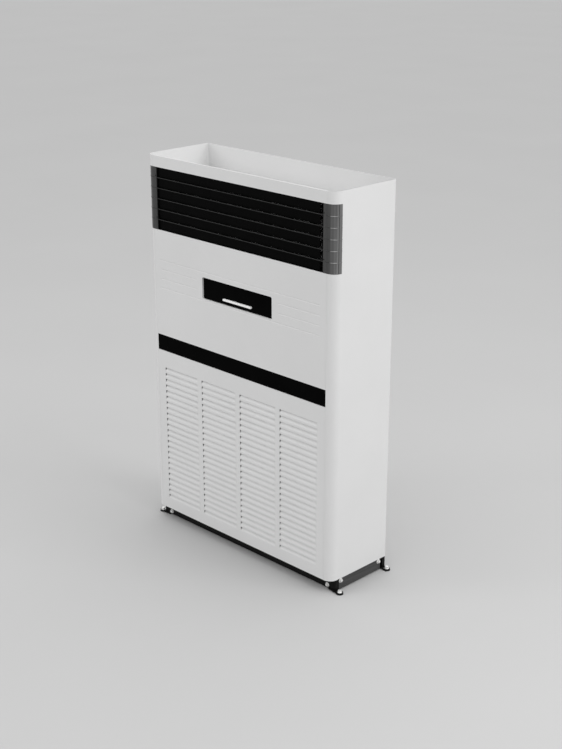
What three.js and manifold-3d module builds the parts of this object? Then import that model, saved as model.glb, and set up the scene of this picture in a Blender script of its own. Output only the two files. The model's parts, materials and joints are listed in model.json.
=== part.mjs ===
// Floor standing air conditioner: a sheet-steel cabinet 1.85 m tall on a plinth.
// Millimetres, +Z up, +X to the right seen from the front; the front looks along -Y.
// The origin lies on the floor, under the middle of the whole object.

import * as THREE from 'three';
import { mergeVertices } from 'three/addons/utils/BufferGeometryUtils.js';
import Module from 'manifold-3d';

const wasm = await Module();
wasm.setup();

// ---------------------------------------------------------------- driving dimensions

const CABINET_WIDTH = 1200;
const CABINET_DEPTH = 383;
const TOTAL_HEIGHT = 1850;
const PLINTH_HEIGHT = 66;
const FRONT_Y = -193;
const CORNER_RADIUS = 42.8; // upright front corners, seen from above
const REAR_RADIUS = 14; // upright rear corners
const SHEET = 1.2; // painted steel sheet
const GAP = 0.3; // clearance between neighbouring pieces
const ARC_STEPS = 3; // straight steps in a quarter of a small rounding

// Heights of the joint lines across the front.
const INTAKE_TOP = 903.2;
const STRIP_TOP = 982.7;
const OUTLET_BOTTOM = 1500.4;
const OUTLET_TOP = 1796.6;

// Intake panel: columns of slots whose flaps are pressed inwards.
const PANEL_SKIN = 2;
const SLOT_COLUMNS = 4;
const SLOT_ROWS = 24;
const SLOT_WIDTH = 232;
const SLOT_HEIGHT = 19;
const SLOT_COLUMN_PITCH = 261.3;
const SLOT_ROW_PITCH = 29.35;
const LOWEST_SLOT_Z = 124;
const FLAP_DEPTH = 12; // how far each flap leans in
const PANEL_HINGE_DEPTH = 8;
const PANEL_HINGE_Z = 74;

// Display recess in the upper front panel.
const DISPLAY_HALF_WIDTH = 227.5;
const DISPLAY_BOTTOM = 1226.5;
const DISPLAY_TOP = 1329.5;
const DISPLAY_DEPTH = 9;
const DISPLAY_CORNER = 8;
const KEY_HALF_WIDTH = 93;
const KEY_HEIGHT = 10;
const KEY_Z = 1249;
const KEY_TRAVEL = 1.2;
const KEY_FLANGE = 2; // thickness of the flange that keeps the key in

// Air outlet: swinging blades between slim bars, upright vanes behind them.
const BLADE_COUNT = 6;
const OUTLET_HALF_WIDTH = 531.5;
const BAR_HEIGHT = 2.6;
const BAR_PROUD = 2;
const BLADE_CHORD = 44.6;
const BLADE_THICKNESS = 6;
const BLADE_AXIS_DEPTH = 9;
const CRANK_RADIUS = 13;
const CRANK_REST_DEGREES = 38; // above the line that points straight back
const VANE_COUNT = 7;
const VANE_PITCH = 140;
const VANE_CHORD = 44;
const VANE_AXIS_DEPTH = 60;
const VANE_PIN_REACH = 18;

// Blower: a motor with a wheel on each end of its shaft, each in a scroll housing.
const WHEEL_RADIUS = 122;
const WHEEL_WIDTH = 220;
const WHEEL_X = 255;
const WHEEL_BLADES = 15;
const SHAFT_Y = 3;
const SHAFT_Z = 430;
const SHAFT_RADIUS = 9.5;
const SHAFT_HALF = 184;
const DECK_Z = 640;
const MOTOR_RADIUS = 66;
const MOTOR_HALF = 56; // half the length of the fan motor's barrel
const MOTOR_SIDES = 14;

// Plinth and feet.
const PLINTH_STEEL = 3;
const BEAM_DEPTH = 22;
const BEAM_INSET = 43.5; // front beam behind the cabinet's front
const RAIL_HALF_SPAN = 592;
const FOOT_X = 614;
const FRONT_FOOT_Y = FRONT_Y + 47;
const REAR_FOOT_Y = FRONT_Y + 371;
const PAD_RADIUS = 17;
const PAD_HEIGHT = 4;
const FOOT_BOLT_RADIUS = 6;

// ------------------------------------------------------------------- derived places

const HALF_WIDTH = CABINET_WIDTH / 2;
const BACK_Y = FRONT_Y + CABINET_DEPTH;
const SEAM_X = HALF_WIDTH - CORNER_RADIUS - 1.2; // joint between front panels and corners
const FRONT_HALF_SPAN = SEAM_X - SHEET / 2 - GAP;
const BLADE_PITCH = (OUTLET_TOP - OUTLET_BOTTOM) / BLADE_COUNT;
const BLADE_AXIS_Y = FRONT_Y + BLADE_AXIS_DEPTH;
const VANE_AXIS_Y = FRONT_Y + VANE_AXIS_DEPTH;
const FRAME_BOTTOM = OUTLET_BOTTOM - GAP;
const FRAME_TOP = OUTLET_TOP + GAP;
const FRAME_WALL = 2.7;
const FRAME_HALF_WIDTH = OUTLET_HALF_WIDTH - 1;
const FRAME_FRONT_Y = FRONT_Y + 3;
const FRAME_BACK_Y = FRONT_Y + 90;
const MOTOR_OFFSET_Y = 22; // drive crank behind the blade axes
const MIDDLE_Z = (OUTLET_BOTTOM + OUTLET_TOP) / 2;

// ------------------------------------------------------------------------- finishes

const finish = (color, roughness, metalness) =>
  new THREE.MeshStandardMaterial({ color, roughness, metalness });

const WHITE_PAINT = finish(0xd8d8d8, 0.42, 0);
const WHITE_PLASTIC = finish(0xe6e6e6, 0.4, 0);
const GREY_PAINT = finish(0x4a4a4a, 0.55, 0);
const BLACK_GLOSS = finish(0x050505, 0.15, 0);
const BLACK_PLASTIC = finish(0x0b0b0b, 0.4, 0);
const DARK_PLASTIC = finish(0x3c3c3c, 0.38, 0);
const ZINC_STEEL = finish(0xb9bbbd, 0.35, 1);
const BRIGHT_STEEL = finish(0xd2d2d2, 0.25, 1);
const RUBBER = finish(0x1a1a1a, 0.85, 0);
const FIN_ALUMINIUM = finish(0xb4b8bb, 0.4, 1);
const MESH_GREY = finish(0x6d7072, 0.8, 0);

// ------------------------------------------------------------------- shape builders

/** A closed geometry with shared vertices, holding positions only. */
function bare(geometry) {
  const copy = geometry.clone();
  copy.deleteAttribute('normal');
  copy.deleteAttribute('uv');
  return mergeVertices(copy, 1e-4);
}

function toSolid(geometry) {
  const merged = bare(geometry);
  return new wasm.Manifold(new wasm.Mesh({
    numProp: 3,
    vertProperties: new Float32Array(merged.attributes.position.array),
    triVerts: new Uint32Array(merged.index.array),
  }));
}

function toGeometry(solid) {
  const mesh = solid.getMesh();
  const geometry = new THREE.BufferGeometry();
  geometry.setAttribute('position', new THREE.BufferAttribute(mesh.vertProperties, 3));
  geometry.setIndex(new THREE.BufferAttribute(mesh.triVerts, 1));
  return geometry;
}

/** One body made of several that overlap. */
function join(...shapes) {
  return toGeometry(shapes.map(toSolid).reduce((sum, next) => sum.add(next)));
}

/** The first shape without the others. */
function cut(shape, ...tools) {
  return toGeometry(tools.map(toSolid).reduce((rest, tool) => rest.subtract(tool), toSolid(shape)));
}

/** What two shapes have in common. */
function common(shape, limit) {
  return toGeometry(toSolid(shape).intersect(toSolid(limit)));
}

/** The same shape on the other side of the middle plane. */
function mirrored(geometry) {
  const copy = bare(geometry);
  copy.scale(-1, 1, 1);
  const corners = copy.index.array;
  for (let i = 0; i < corners.length; i += 3) {
    [corners[i], corners[i + 1]] = [corners[i + 1], corners[i]];
  }
  return copy;
}

function block(x0, x1, y0, y1, z0, z1) {
  const geometry = new THREE.BoxGeometry(x1 - x0, y1 - y0, z1 - z0);
  return geometry.translate((x0 + x1) / 2, (y0 + y1) / 2, (z0 + z1) / 2);
}

const AXIS_X = new THREE.Vector3(1, 0, 0);
const AXIS_Y = new THREE.Vector3(0, 1, 0);
const AXIS_Z = new THREE.Vector3(0, 0, 1);

/** A flat outline drawn in (y, z) and pushed along X. */
function alongX(shape, x0, x1) {
  const geometry = new THREE.ExtrudeGeometry(shape, { depth: x1 - x0, bevelEnabled: false });
  geometry.translate(0, 0, x0);
  return geometry.applyMatrix4(new THREE.Matrix4().makeBasis(AXIS_Y, AXIS_Z, AXIS_X));
}

/** A flat outline drawn in (x, z) and pushed along Y; a bevel rounds the face towards -Y. */
function alongY(shape, y0, y1, bevel = 0) {
  const geometry = new THREE.ExtrudeGeometry(shape, {
    depth: y1 - y0 - 2 * bevel,
    bevelEnabled: bevel > 0,
    bevelSize: bevel,
    bevelThickness: bevel,
    bevelOffset: -bevel,
    bevelSegments: 1,
    curveSegments: ARC_STEPS,
  });
  geometry.translate(0, 0, bevel - y1);
  return geometry.applyMatrix4(new THREE.Matrix4().makeBasis(AXIS_X, AXIS_Z, AXIS_Y.clone().negate()));
}

/** A flat outline drawn in (x, y) and pushed along Z. */
function alongZ(shape, z0, z1) {
  const settings = { depth: z1 - z0, bevelEnabled: false, curveSegments: ARC_STEPS };
  return new THREE.ExtrudeGeometry(shape, settings).translate(0, 0, z0);
}

/** A round bar along X, with its axis at (y, z). */
function rodX(radius, x0, x1, y, z, sides = 12) {
  const geometry = new THREE.CylinderGeometry(radius, radius, x1 - x0, sides);
  geometry.rotateZ(-Math.PI / 2);
  return geometry.translate((x0 + x1) / 2, y, z);
}

/** A round bar along Z, with its axis at (x, y). */
function rodZ(radius, x, y, z0, z1, sides = 12) {
  const geometry = new THREE.CylinderGeometry(radius, radius, z1 - z0, sides);
  geometry.rotateX(Math.PI / 2);
  return geometry.translate(x, y, (z0 + z1) / 2);
}

/** A ring or disc turned about X: its section runs over [radius, x] points. */
function turnedX(section, y, z, sides = 20) {
  const points = section.map(([radius, x]) => new THREE.Vector2(radius, x));
  const geometry = new THREE.LatheGeometry([...points, points[0].clone()], sides);
  geometry.rotateZ(-Math.PI / 2);
  return geometry.translate(0, y, z);
}

/** A ring or disc turned about Z: its section runs over [radius, z] points. */
function turnedZ(section, sides = 12) {
  const points = section.map(([radius, z]) => new THREE.Vector2(radius, z));
  const geometry = new THREE.LatheGeometry([...points, points[0].clone()], sides);
  return geometry.rotateX(Math.PI / 2);
}

function roundedRectangle(u0, u1, v0, v1, radius) {
  const shape = new THREE.Shape();
  shape.absarc(u1 - radius, v0 + radius, radius, -Math.PI / 2, 0);
  shape.absarc(u1 - radius, v1 - radius, radius, 0, Math.PI / 2);
  shape.absarc(u0 + radius, v1 - radius, radius, Math.PI / 2, Math.PI);
  shape.absarc(u0 + radius, v0 + radius, radius, Math.PI, 1.5 * Math.PI);
  return shape;
}

/** Straight runs through the given [u, v, bend radius] corners, as a list of points. */
function bentPath(corners, stepDegrees = 15) {
  const at = ([u, v]) => new THREE.Vector2(u, v);
  return corners.flatMap((corner, i) => {
    const here = at(corner);
    const radius = corner[2];
    if (!radius) return [here];
    const back = at(corners[i - 1]).sub(here).normalize();
    const ahead = at(corners[i + 1]).sub(here).normalize();
    const inside = Math.acos(back.dot(ahead));
    const turn = Math.PI - inside;
    const centre = back.clone().add(ahead).setLength(radius / Math.sin(inside / 2)).add(here);
    const start = back.clone().multiplyScalar(radius * Math.tan(turn / 2)).add(here);
    const steps = Math.max(1, Math.round(THREE.MathUtils.radToDeg(turn) / stepDegrees));
    const sweep = -Math.sign(back.cross(ahead)) * turn;
    return Array.from({ length: steps + 1 }, (_, k) => (
      start.clone().rotateAround(centre, (sweep * k) / steps)
    ));
  });
}

/** The outline of a sheet of one thickness whose middle follows the path. */
function ribbon(path, thickness) {
  const sides = path.map((point, i) => {
    const before = point.clone().sub(path[Math.max(i - 1, 0)]).normalize();
    const after = path[Math.min(i + 1, path.length - 1)].clone().sub(point).normalize();
    const along = before.clone().add(after).normalize();
    const stretch = 1 / Math.max(along.dot(i === 0 ? after : before), 0.2);
    const offset = new THREE.Vector2(-along.y, along.x).multiplyScalar((stretch * thickness) / 2);
    return [point.clone().add(offset), point.clone().sub(offset)];
  });
  return new THREE.Shape([...sides.map((pair) => pair[0]), ...sides.reverse().map((pair) => pair[1])]);
}

// ------------------------------------------------------------------ assembly helpers

const airConditioner = new THREE.Group();

function add(name, geometry, material, position = [0, 0, 0]) {
  const mesh = new THREE.Mesh(geometry, material);
  mesh.name = name;
  mesh.position.set(...position);
  airConditioner.add(mesh);
  return mesh;
}

// ------------------------------------------------------------------- plinth and feet

const RAIL_TOP = PLINTH_HEIGHT - GAP;
const FRONT_BEAM_Y = FRONT_Y + BEAM_INSET;
const REAR_BEAM_Y = BACK_Y - 1;
const RAIL_START_Y = FRONT_BEAM_Y + BEAM_DEPTH + 2 * GAP;
const RAIL_END_Y = FRONT_Y + 348.5;

/** A channel with its web at `web` and flanges that reach to `open`, both along one level axis. */
function channel(web, open) {
  const inset = (PLINTH_STEEL / 2) * Math.sign(open - web);
  const low = PAD_HEIGHT + PLINTH_STEEL / 2;
  const high = RAIL_TOP - PLINTH_STEEL / 2;
  const bend = 4;
  const path = bentPath([[open, high], [web + inset, high, bend], [web + inset, low, bend], [open, low]], 90);
  return ribbon(path, PLINTH_STEEL);
}

/** The floor tab at the end of a beam: a tongue with a round end and a bolt hole. */
function floorTab(footY) {
  const outline = new THREE.Shape();
  outline.moveTo(RAIL_HALF_SPAN - 40, footY - 9);
  outline.lineTo(FOOT_X - 6, footY - PAD_RADIUS + 1);
  outline.absarc(FOOT_X, footY, PAD_RADIUS - 1, -Math.PI / 2, Math.PI / 2);
  outline.lineTo(FOOT_X - 6, footY + PAD_RADIUS - 1);
  outline.lineTo(RAIL_HALF_SPAN - 40, footY + 9);
  return alongZ(outline, PAD_HEIGHT, PAD_HEIGHT + 4);
}

/** A cross beam with closed ends and a floor tab at each end. */
function crossBeam(web, open, footY) {
  const tab = floorTab(footY);
  const near = Math.min(web, open);
  const far = Math.max(web, open);
  const cap = block(
    RAIL_HALF_SPAN - PLINTH_STEEL, RAIL_HALF_SPAN, near, far, PAD_HEIGHT + 0.5, RAIL_TOP - 0.5,
  );
  const hole = rodZ(FOOT_BOLT_RADIUS + GAP, FOOT_X, footY, 0, 12);
  const beam = alongX(channel(web, open), -RAIL_HALF_SPAN + 1, RAIL_HALF_SPAN - 1);
  return cut(join(beam, cap, mirrored(cap), tab, mirrored(tab)), hole, mirrored(hole));
}

function sideRail() {
  return alongY(channel(RAIL_HALF_SPAN, RAIL_HALF_SPAN - 40), RAIL_START_Y, RAIL_END_Y);
}

function footPad() {
  const bore = FOOT_BOLT_RADIUS + GAP;
  const top = PAD_HEIGHT - GAP;
  return turnedZ([[bore, 0], [PAD_RADIUS, 0], [PAD_RADIUS, top], [bore, top]]);
}

/** Bolt with a round flange and a domed six-sided head. */
function footBolt() {
  const seat = PAD_HEIGHT + 4 + GAP;
  const turned = (points, sides) => new THREE.LatheGeometry(
    points.map(([radius, z]) => new THREE.Vector2(radius, z)), sides,
  ).rotateX(Math.PI / 2);
  const stem = turned([
    [0, 1], [FOOT_BOLT_RADIUS, 1], [FOOT_BOLT_RADIUS, seat], [11.5, seat], [9, seat + 3], [0, seat + 3],
  ], 10);
  const head = turned([[0, seat + 2], [9, seat + 2], [9, seat + 7.5], [5.5, seat + 10.3], [0, seat + 10.5]], 6);
  return join(stem, head);
}

add('plinth_front_beam', crossBeam(FRONT_BEAM_Y, FRONT_BEAM_Y + BEAM_DEPTH, FRONT_FOOT_Y), GREY_PAINT);
add('plinth_rear_beam', crossBeam(REAR_BEAM_Y, REAR_BEAM_Y - BEAM_DEPTH + 2, REAR_FOOT_Y), GREY_PAINT);
add('plinth_right_rail', sideRail(), GREY_PAINT);
add('plinth_left_rail', mirrored(sideRail()), GREY_PAINT);

for (const [row, y] of [['front', FRONT_FOOT_Y], ['rear', REAR_FOOT_Y]]) {
  for (const [side, x] of [['left', -FOOT_X], ['right', FOOT_X]]) {
    add(`foot_pad_${row}_${side}`, footPad(), RUBBER, [x, y, 0]);
    add(`foot_bolt_${row}_${side}`, footBolt(), BRIGHT_STEEL, [x, y, 0]);
  }
}

// ------------------------------------------------------------------- cabinet casing

/** What lies inside the casing's walls, seen from above, as an upright column. */
function casingInside(margin, z0, z1) {
  const half = HALF_WIDTH - margin;
  const front = FRONT_Y + margin;
  const back = BACK_Y - margin;
  const frontRadius = CORNER_RADIUS - margin;
  const rearRadius = REAR_RADIUS - margin;
  const outline = new THREE.Shape();
  outline.absarc(half - frontRadius, front + frontRadius, frontRadius, -Math.PI / 2, 0);
  outline.absarc(half - rearRadius, back - rearRadius, rearRadius, 0, Math.PI / 2);
  outline.absarc(rearRadius - half, back - rearRadius, rearRadius, Math.PI / 2, Math.PI);
  outline.absarc(frontRadius - half, front + frontRadius, frontRadius, Math.PI, 1.5 * Math.PI);
  return alongZ(outline, z0, z1);
}

function basePan() {
  const wall = 1.5;
  const edge = FRONT_Y + 28;
  const outer = roundedRectangle(2.6 - HALF_WIDTH, HALF_WIDTH - 2.6, edge, BACK_Y - 2.6, 16);
  const reach = HALF_WIDTH - 2.6 - wall;
  const inner = roundedRectangle(-reach, reach, edge + wall, BACK_Y - 2.6 - wall, 14);
  const tray = alongZ(outer, PLINTH_HEIGHT, PLINTH_HEIGHT + 30);
  return cut(tray, alongZ(inner, PLINTH_HEIGHT + wall, PLINTH_HEIGHT + 40));
}

/** Right side of the casing: one bent sheet that also makes the rounded front corner. */
function sidePanel() {
  const mid = SHEET / 2;
  const section = ribbon(bentPath([
    [SEAM_X, FRONT_Y + 17],
    [SEAM_X, FRONT_Y + mid, 0.8],
    [HALF_WIDTH - mid, FRONT_Y + mid, CORNER_RADIUS - mid],
    [HALF_WIDTH - mid, BACK_Y - mid, REAR_RADIUS - mid],
    [HALF_WIDTH - 34, BACK_Y - mid],
  ]), SHEET);
  const sheet = alongZ(section, PLINTH_HEIGHT, TOTAL_HEIGHT);
  const notchEnd = FRONT_Y + CORNER_RADIUS + 0.6;
  const outletNotch = block(500, HALF_WIDTH + 5, FRONT_Y - 5, notchEnd, FRAME_BOTTOM, FRAME_TOP);
  const lipAboveOutlet = block(
    500, SEAM_X + 2, FRONT_Y + SHEET + 0.3, FRONT_Y + 30, FRAME_TOP - 5, TOTAL_HEIGHT + 5,
  );
  const hingeHole = rodX(3.4, SEAM_X - 5, SEAM_X + 5, FRONT_Y + PANEL_HINGE_DEPTH, PANEL_HINGE_Z);
  return cut(sheet, outletNotch, lipAboveOutlet, hingeHole);
}

/** Rear sheet, with the round hole where the pipes leave. */
function rearPanel() {
  const half = HALF_WIDTH - 34 - GAP;
  const sheet = block(-half, half, BACK_Y - SHEET, BACK_Y, PLINTH_HEIGHT, TOTAL_HEIGHT);
  const pipeHole = new THREE.CylinderGeometry(35, 35, 20, 24).translate(-470, BACK_Y, PLINTH_HEIGHT + 110);
  return cut(sheet, pipeHole);
}

function topBand() {
  const mid = 0.75;
  const section = ribbon(bentPath([
    [FRONT_Y + 5, TOTAL_HEIGHT - mid],
    [FRONT_Y + mid, TOTAL_HEIGHT - mid, 1.2],
    [FRONT_Y + mid, OUTLET_TOP],
  ], 45), 1.5);
  return alongX(section, -FRONT_HALF_SPAN, FRONT_HALF_SPAN);
}

/** Sunken cover that turns the air towards the outlet: level over it, then falling to the rear. */
function topCover() {
  const ledge = OUTLET_TOP + 7;
  const rear = BACK_Y - 4;
  const section = ribbon(bentPath([
    [FRONT_Y + 3, TOTAL_HEIGHT - 12],
    [FRONT_Y + 3, ledge, 2],
    [FRONT_Y + 94, ledge, 12],
    [rear, TOTAL_HEIGHT - 158, 4],
    [rear, TOTAL_HEIGHT - 128],
  ], 20), SHEET);
  const sheet = alongX(section, -HALF_WIDTH, HALF_WIDTH);
  return common(sheet, casingInside(SHEET + 2 * GAP, OUTLET_TOP - 200, TOTAL_HEIGHT));
}

/** Shallow round-bottomed line pressed across the upper panel. */
function pressedLine(x0, x1, z) {
  const radius = 4;
  const depth = 1.2;
  return rodX(radius, x0, x1, FRONT_Y - radius + depth, z, 16);
}

/** Upper front panel: a shallow tray with the display recess and four pressed lines. */
function upperFrontPanel() {
  const skin = 2.5;
  const rim = 15;
  const low = STRIP_TOP + GAP;
  const high = OUTLET_BOTTOM - GAP;
  const collar = 3;
  const tray = cut(
    block(-FRONT_HALF_SPAN, FRONT_HALF_SPAN, FRONT_Y, FRONT_Y + rim, low, high),
    block(skin - FRONT_HALF_SPAN, FRONT_HALF_SPAN - skin, FRONT_Y + skin, FRONT_Y + rim + 5, low + skin, high + 5),
  );
  const surround = alongY(roundedRectangle(
    -DISPLAY_HALF_WIDTH - collar, DISPLAY_HALF_WIDTH + collar,
    DISPLAY_BOTTOM - collar, DISPLAY_TOP + collar, DISPLAY_CORNER + collar,
  ), FRONT_Y + 1, FRONT_Y + DISPLAY_DEPTH);
  const opening = alongY(roundedRectangle(
    -DISPLAY_HALF_WIDTH, DISPLAY_HALF_WIDTH, DISPLAY_BOTTOM, DISPLAY_TOP, DISPLAY_CORNER,
  ), FRONT_Y - 5, FRONT_Y + 30);
  const lineTop = 1354.5;
  const linePitch = 45.33;
  const lineEnd = 518;
  const besideDisplay = 268;
  const lines = [0, 3].map((row) => pressedLine(-lineEnd, lineEnd, lineTop - row * linePitch));
  for (const row of [1, 2]) {
    lines.push(pressedLine(-lineEnd, -besideDisplay, lineTop - row * linePitch));
    lines.push(pressedLine(besideDisplay, lineEnd, lineTop - row * linePitch));
  }
  return cut(join(tray, surround), opening, ...lines);
}

function dividerStrip() {
  const wall = 2.5;
  const face = FRONT_Y + 1 + wall / 2;
  const low = INTAKE_TOP + GAP + wall / 2;
  const high = STRIP_TOP - wall / 2;
  const back = FRONT_Y + 13;
  const section = ribbon(bentPath([[back, high], [face, high, 2], [face, low, 2], [back, low]], 30), wall);
  return alongX(section, -FRONT_HALF_SPAN, FRONT_HALF_SPAN);
}

add('base_pan', basePan(), ZINC_STEEL);
add('right_side_panel', sidePanel(), WHITE_PAINT);
add('left_side_panel', mirrored(sidePanel()), WHITE_PAINT);
add('rear_panel', rearPanel(), WHITE_PAINT);
add('top_band', topBand(), WHITE_PAINT);
add('top_cover', topCover(), WHITE_PAINT);
add('upper_front_panel', upperFrontPanel(), WHITE_PAINT);
add('divider_strip', dividerStrip(), BLACK_GLOSS);

// --------------------------------------------------------- intake panel and filters

const FILTER_FRONT_Y = FRONT_Y + 16;
const FILTER_THICKNESS = 6;
const FILTER_BOTTOM = 86;
const FILTER_TOP = 885;
const FILTER_INNER_X = 5;
const FILTER_OUTER_X = FRONT_HALF_SPAN - 8;
const GUIDE_BACK_Y = FILTER_FRONT_Y + FILTER_THICKNESS + 2.5;

const slotLeft = (column) => (column - (SLOT_COLUMNS - 1) / 2) * SLOT_COLUMN_PITCH - SLOT_WIDTH / 2;
const slotBottom = (row) => LOWEST_SLOT_Z + row * SLOT_ROW_PITCH;

/** The flat skin of the intake panel with every slot opened. */
function slottedSkin(low, high) {
  const slots = [];
  for (let column = 0; column < SLOT_COLUMNS; column += 1) {
    const left = slotLeft(column);
    for (let row = 0; row < SLOT_ROWS; row += 1) {
      const bottom = slotBottom(row);
      slots.push(block(left, left + SLOT_WIDTH, FRONT_Y - 5, FRONT_Y + 8, bottom, bottom + SLOT_HEIGHT));
    }
  }
  return cut(block(-FRONT_HALF_SPAN, FRONT_HALF_SPAN, FRONT_Y, FRONT_Y + PANEL_SKIN, low, high), ...slots);
}

/** Every flap: the tongue of a slot, still joined along its lower edge and leaning inwards. */
function inwardFlaps() {
  const section = new THREE.Shape([
    new THREE.Vector2(FRONT_Y, 0),
    new THREE.Vector2(FRONT_Y + PANEL_SKIN, 0),
    new THREE.Vector2(FRONT_Y + FLAP_DEPTH + 1, SLOT_HEIGHT - 2.6),
    new THREE.Vector2(FRONT_Y + FLAP_DEPTH, SLOT_HEIGHT - 2),
  ]);
  const flaps = [];
  for (let column = 0; column < SLOT_COLUMNS; column += 1) {
    const flap = alongX(section, slotLeft(column), slotLeft(column) + SLOT_WIDTH);
    for (let row = 0; row < SLOT_ROWS; row += 1) {
      flaps.push(flap.clone().translate(0, 0, slotBottom(row)));
    }
  }
  return flaps;
}

/** Upright guide on the back of the panel that one or two filters slide in. */
function filterGuide(x, lipLeft, lipRight, low, high) {
  const stem = block(x - 1, x + 1, FRONT_Y + 1, GUIDE_BACK_Y, low, high);
  const lip = block(x - lipLeft, x + lipRight, GUIDE_BACK_Y - 1.5, GUIDE_BACK_Y, low, high);
  return join(stem, lip);
}

/** Intake panel: slots with inward flaps, a folded rim, filter guides and two hinge pins. */
function intakePanel() {
  const low = PLINTH_HEIGHT + GAP;
  const high = INTAKE_TOP - GAP;
  const rim = 12;
  const fold = 1.5;
  const edge = FRONT_HALF_SPAN;
  const sideFold = block(edge - fold, edge, FRONT_Y + 1, FRONT_Y + rim, low, high);
  const pin = rodX(3, edge - 1, SEAM_X + 4, FRONT_Y + PANEL_HINGE_DEPTH, PANEL_HINGE_Z);
  const outerGuide = filterGuide(edge - 5, 8, 0.9, FILTER_BOTTOM - 2, high - 10);
  return join(
    slottedSkin(low, high),
    sideFold,
    mirrored(sideFold),
    block(1 - edge, edge - 1, FRONT_Y + 1, FRONT_Y + rim, low, low + fold),
    block(1 - edge, edge - 1, FRONT_Y + 1, FRONT_Y + rim, high - fold, high),
    filterGuide(0, 9, 9, FILTER_BOTTOM - 2, high - 10),
    outerGuide,
    mirrored(outerGuide),
    block(10 - edge, edge - 10, FRONT_Y + 1, GUIDE_BACK_Y, FILTER_BOTTOM - 4, FILTER_BOTTOM - 1),
    pin,
    mirrored(pin),
    ...inwardFlaps(),
  );
}

/** Washable filter: a moulded frame with cross ribs over a fine mesh. */
function airFilter() {
  const back = FILTER_FRONT_Y + FILTER_THICKNESS;
  const right = FILTER_OUTER_X - GAP;
  const border = 12;
  const rib = 5;
  const columns = 2;
  const rows = 4;
  const cellWidth = (right - FILTER_INNER_X - 2 * border - (columns - 1) * rib) / columns;
  const cellHeight = (FILTER_TOP - FILTER_BOTTOM - 2 * border - (rows - 1) * rib) / rows;
  const cells = [];
  for (let column = 0; column < columns; column += 1) {
    for (let row = 0; row < rows; row += 1) {
      const left = FILTER_INNER_X + border + column * (cellWidth + rib);
      const low = FILTER_BOTTOM + border + row * (cellHeight + rib);
      cells.push(block(left, left + cellWidth, FILTER_FRONT_Y - 5, back + 5, low, low + cellHeight));
    }
  }
  const frame = cut(block(FILTER_INNER_X, right, FILTER_FRONT_Y, back, FILTER_BOTTOM, FILTER_TOP), ...cells);
  const middle = (FILTER_FRONT_Y + back) / 2;
  const mesh = block(
    FILTER_INNER_X + 4, right - 4, middle - 0.4, middle + 0.4, FILTER_BOTTOM + 4, FILTER_TOP - 4,
  );
  return join(frame, mesh);
}

add('intake_panel', intakePanel(), WHITE_PAINT);
add('right_filter', airFilter(), MESH_GREY);
add('left_filter', mirrored(airFilter()), MESH_GREY);

// ------------------------------------------------------------------ display and key

function keySlot(margin) {
  const half = KEY_HEIGHT / 2 + margin;
  const reach = KEY_HALF_WIDTH + margin;
  return roundedRectangle(-reach, reach, KEY_Z - half, KEY_Z + half, half - 0.2);
}

function displayWindow() {
  const y = FRONT_Y + DISPLAY_DEPTH + GAP;
  const pane = roundedRectangle(
    -DISPLAY_HALF_WIDTH - 5, DISPLAY_HALF_WIDTH + 5, DISPLAY_BOTTOM - 5, DISPLAY_TOP + 5, 10,
  );
  return cut(alongY(pane, y, y + 3), alongY(keySlot(0.4), y - 5, y + 8));
}

/** The box that carries the display board, with a pocket the key's flange travels in. */
function displayHousing() {
  const y = FRONT_Y + DISPLAY_DEPTH + 2 * GAP + 3;
  const pocket = KEY_FLANGE + KEY_TRAVEL + 3 * GAP;
  const shell = alongY(roundedRectangle(
    -DISPLAY_HALF_WIDTH + 8, DISPLAY_HALF_WIDTH - 8, DISPLAY_BOTTOM - 2, DISPLAY_TOP + 2, 6,
  ), y, y + 26);
  const screwEar = block(DISPLAY_HALF_WIDTH - 12, DISPLAY_HALF_WIDTH + 14, y + 4, y + 7, 1268, 1288);
  return cut(join(shell, screwEar, mirrored(screwEar)), alongY(keySlot(5), y - 5, y + pocket));
}

/** One wide key: a rounded bar that stands out through the pane, with a flange behind it. */
function keyBar() {
  const pane = FRONT_Y + DISPLAY_DEPTH + GAP;
  const bar = alongY(keySlot(0), FRONT_Y + 1, pane + 5, 1.2);
  const back = pane + 3 + 2 * GAP;
  const flange = alongY(keySlot(3), back, back + KEY_FLANGE);
  return join(bar, flange);
}

add('display_window', displayWindow(), BLACK_GLOSS);
add('display_housing', displayHousing(), BLACK_PLASTIC);
add('key_bar', keyBar(), WHITE_PLASTIC);

// --------------------------------------------------------------------- air outlet

const bladeZ = (index) => OUTLET_BOTTOM + (index + 0.5) * BLADE_PITCH;
const barZ = (index) => OUTLET_BOTTOM + (index + 1) * BLADE_PITCH;
const vaneX = (index) => (index - (VANE_COUNT - 1) / 2) * VANE_PITCH;
const FRAME_INNER_X = FRAME_HALF_WIDTH - FRAME_WALL;
const PIVOT_RADIUS = 3;
const PIVOT_HOLE = 3.6;
const CRANK_PIN_RADIUS = 2;
const CRANK_PIN_EYE = 2.45;

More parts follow.
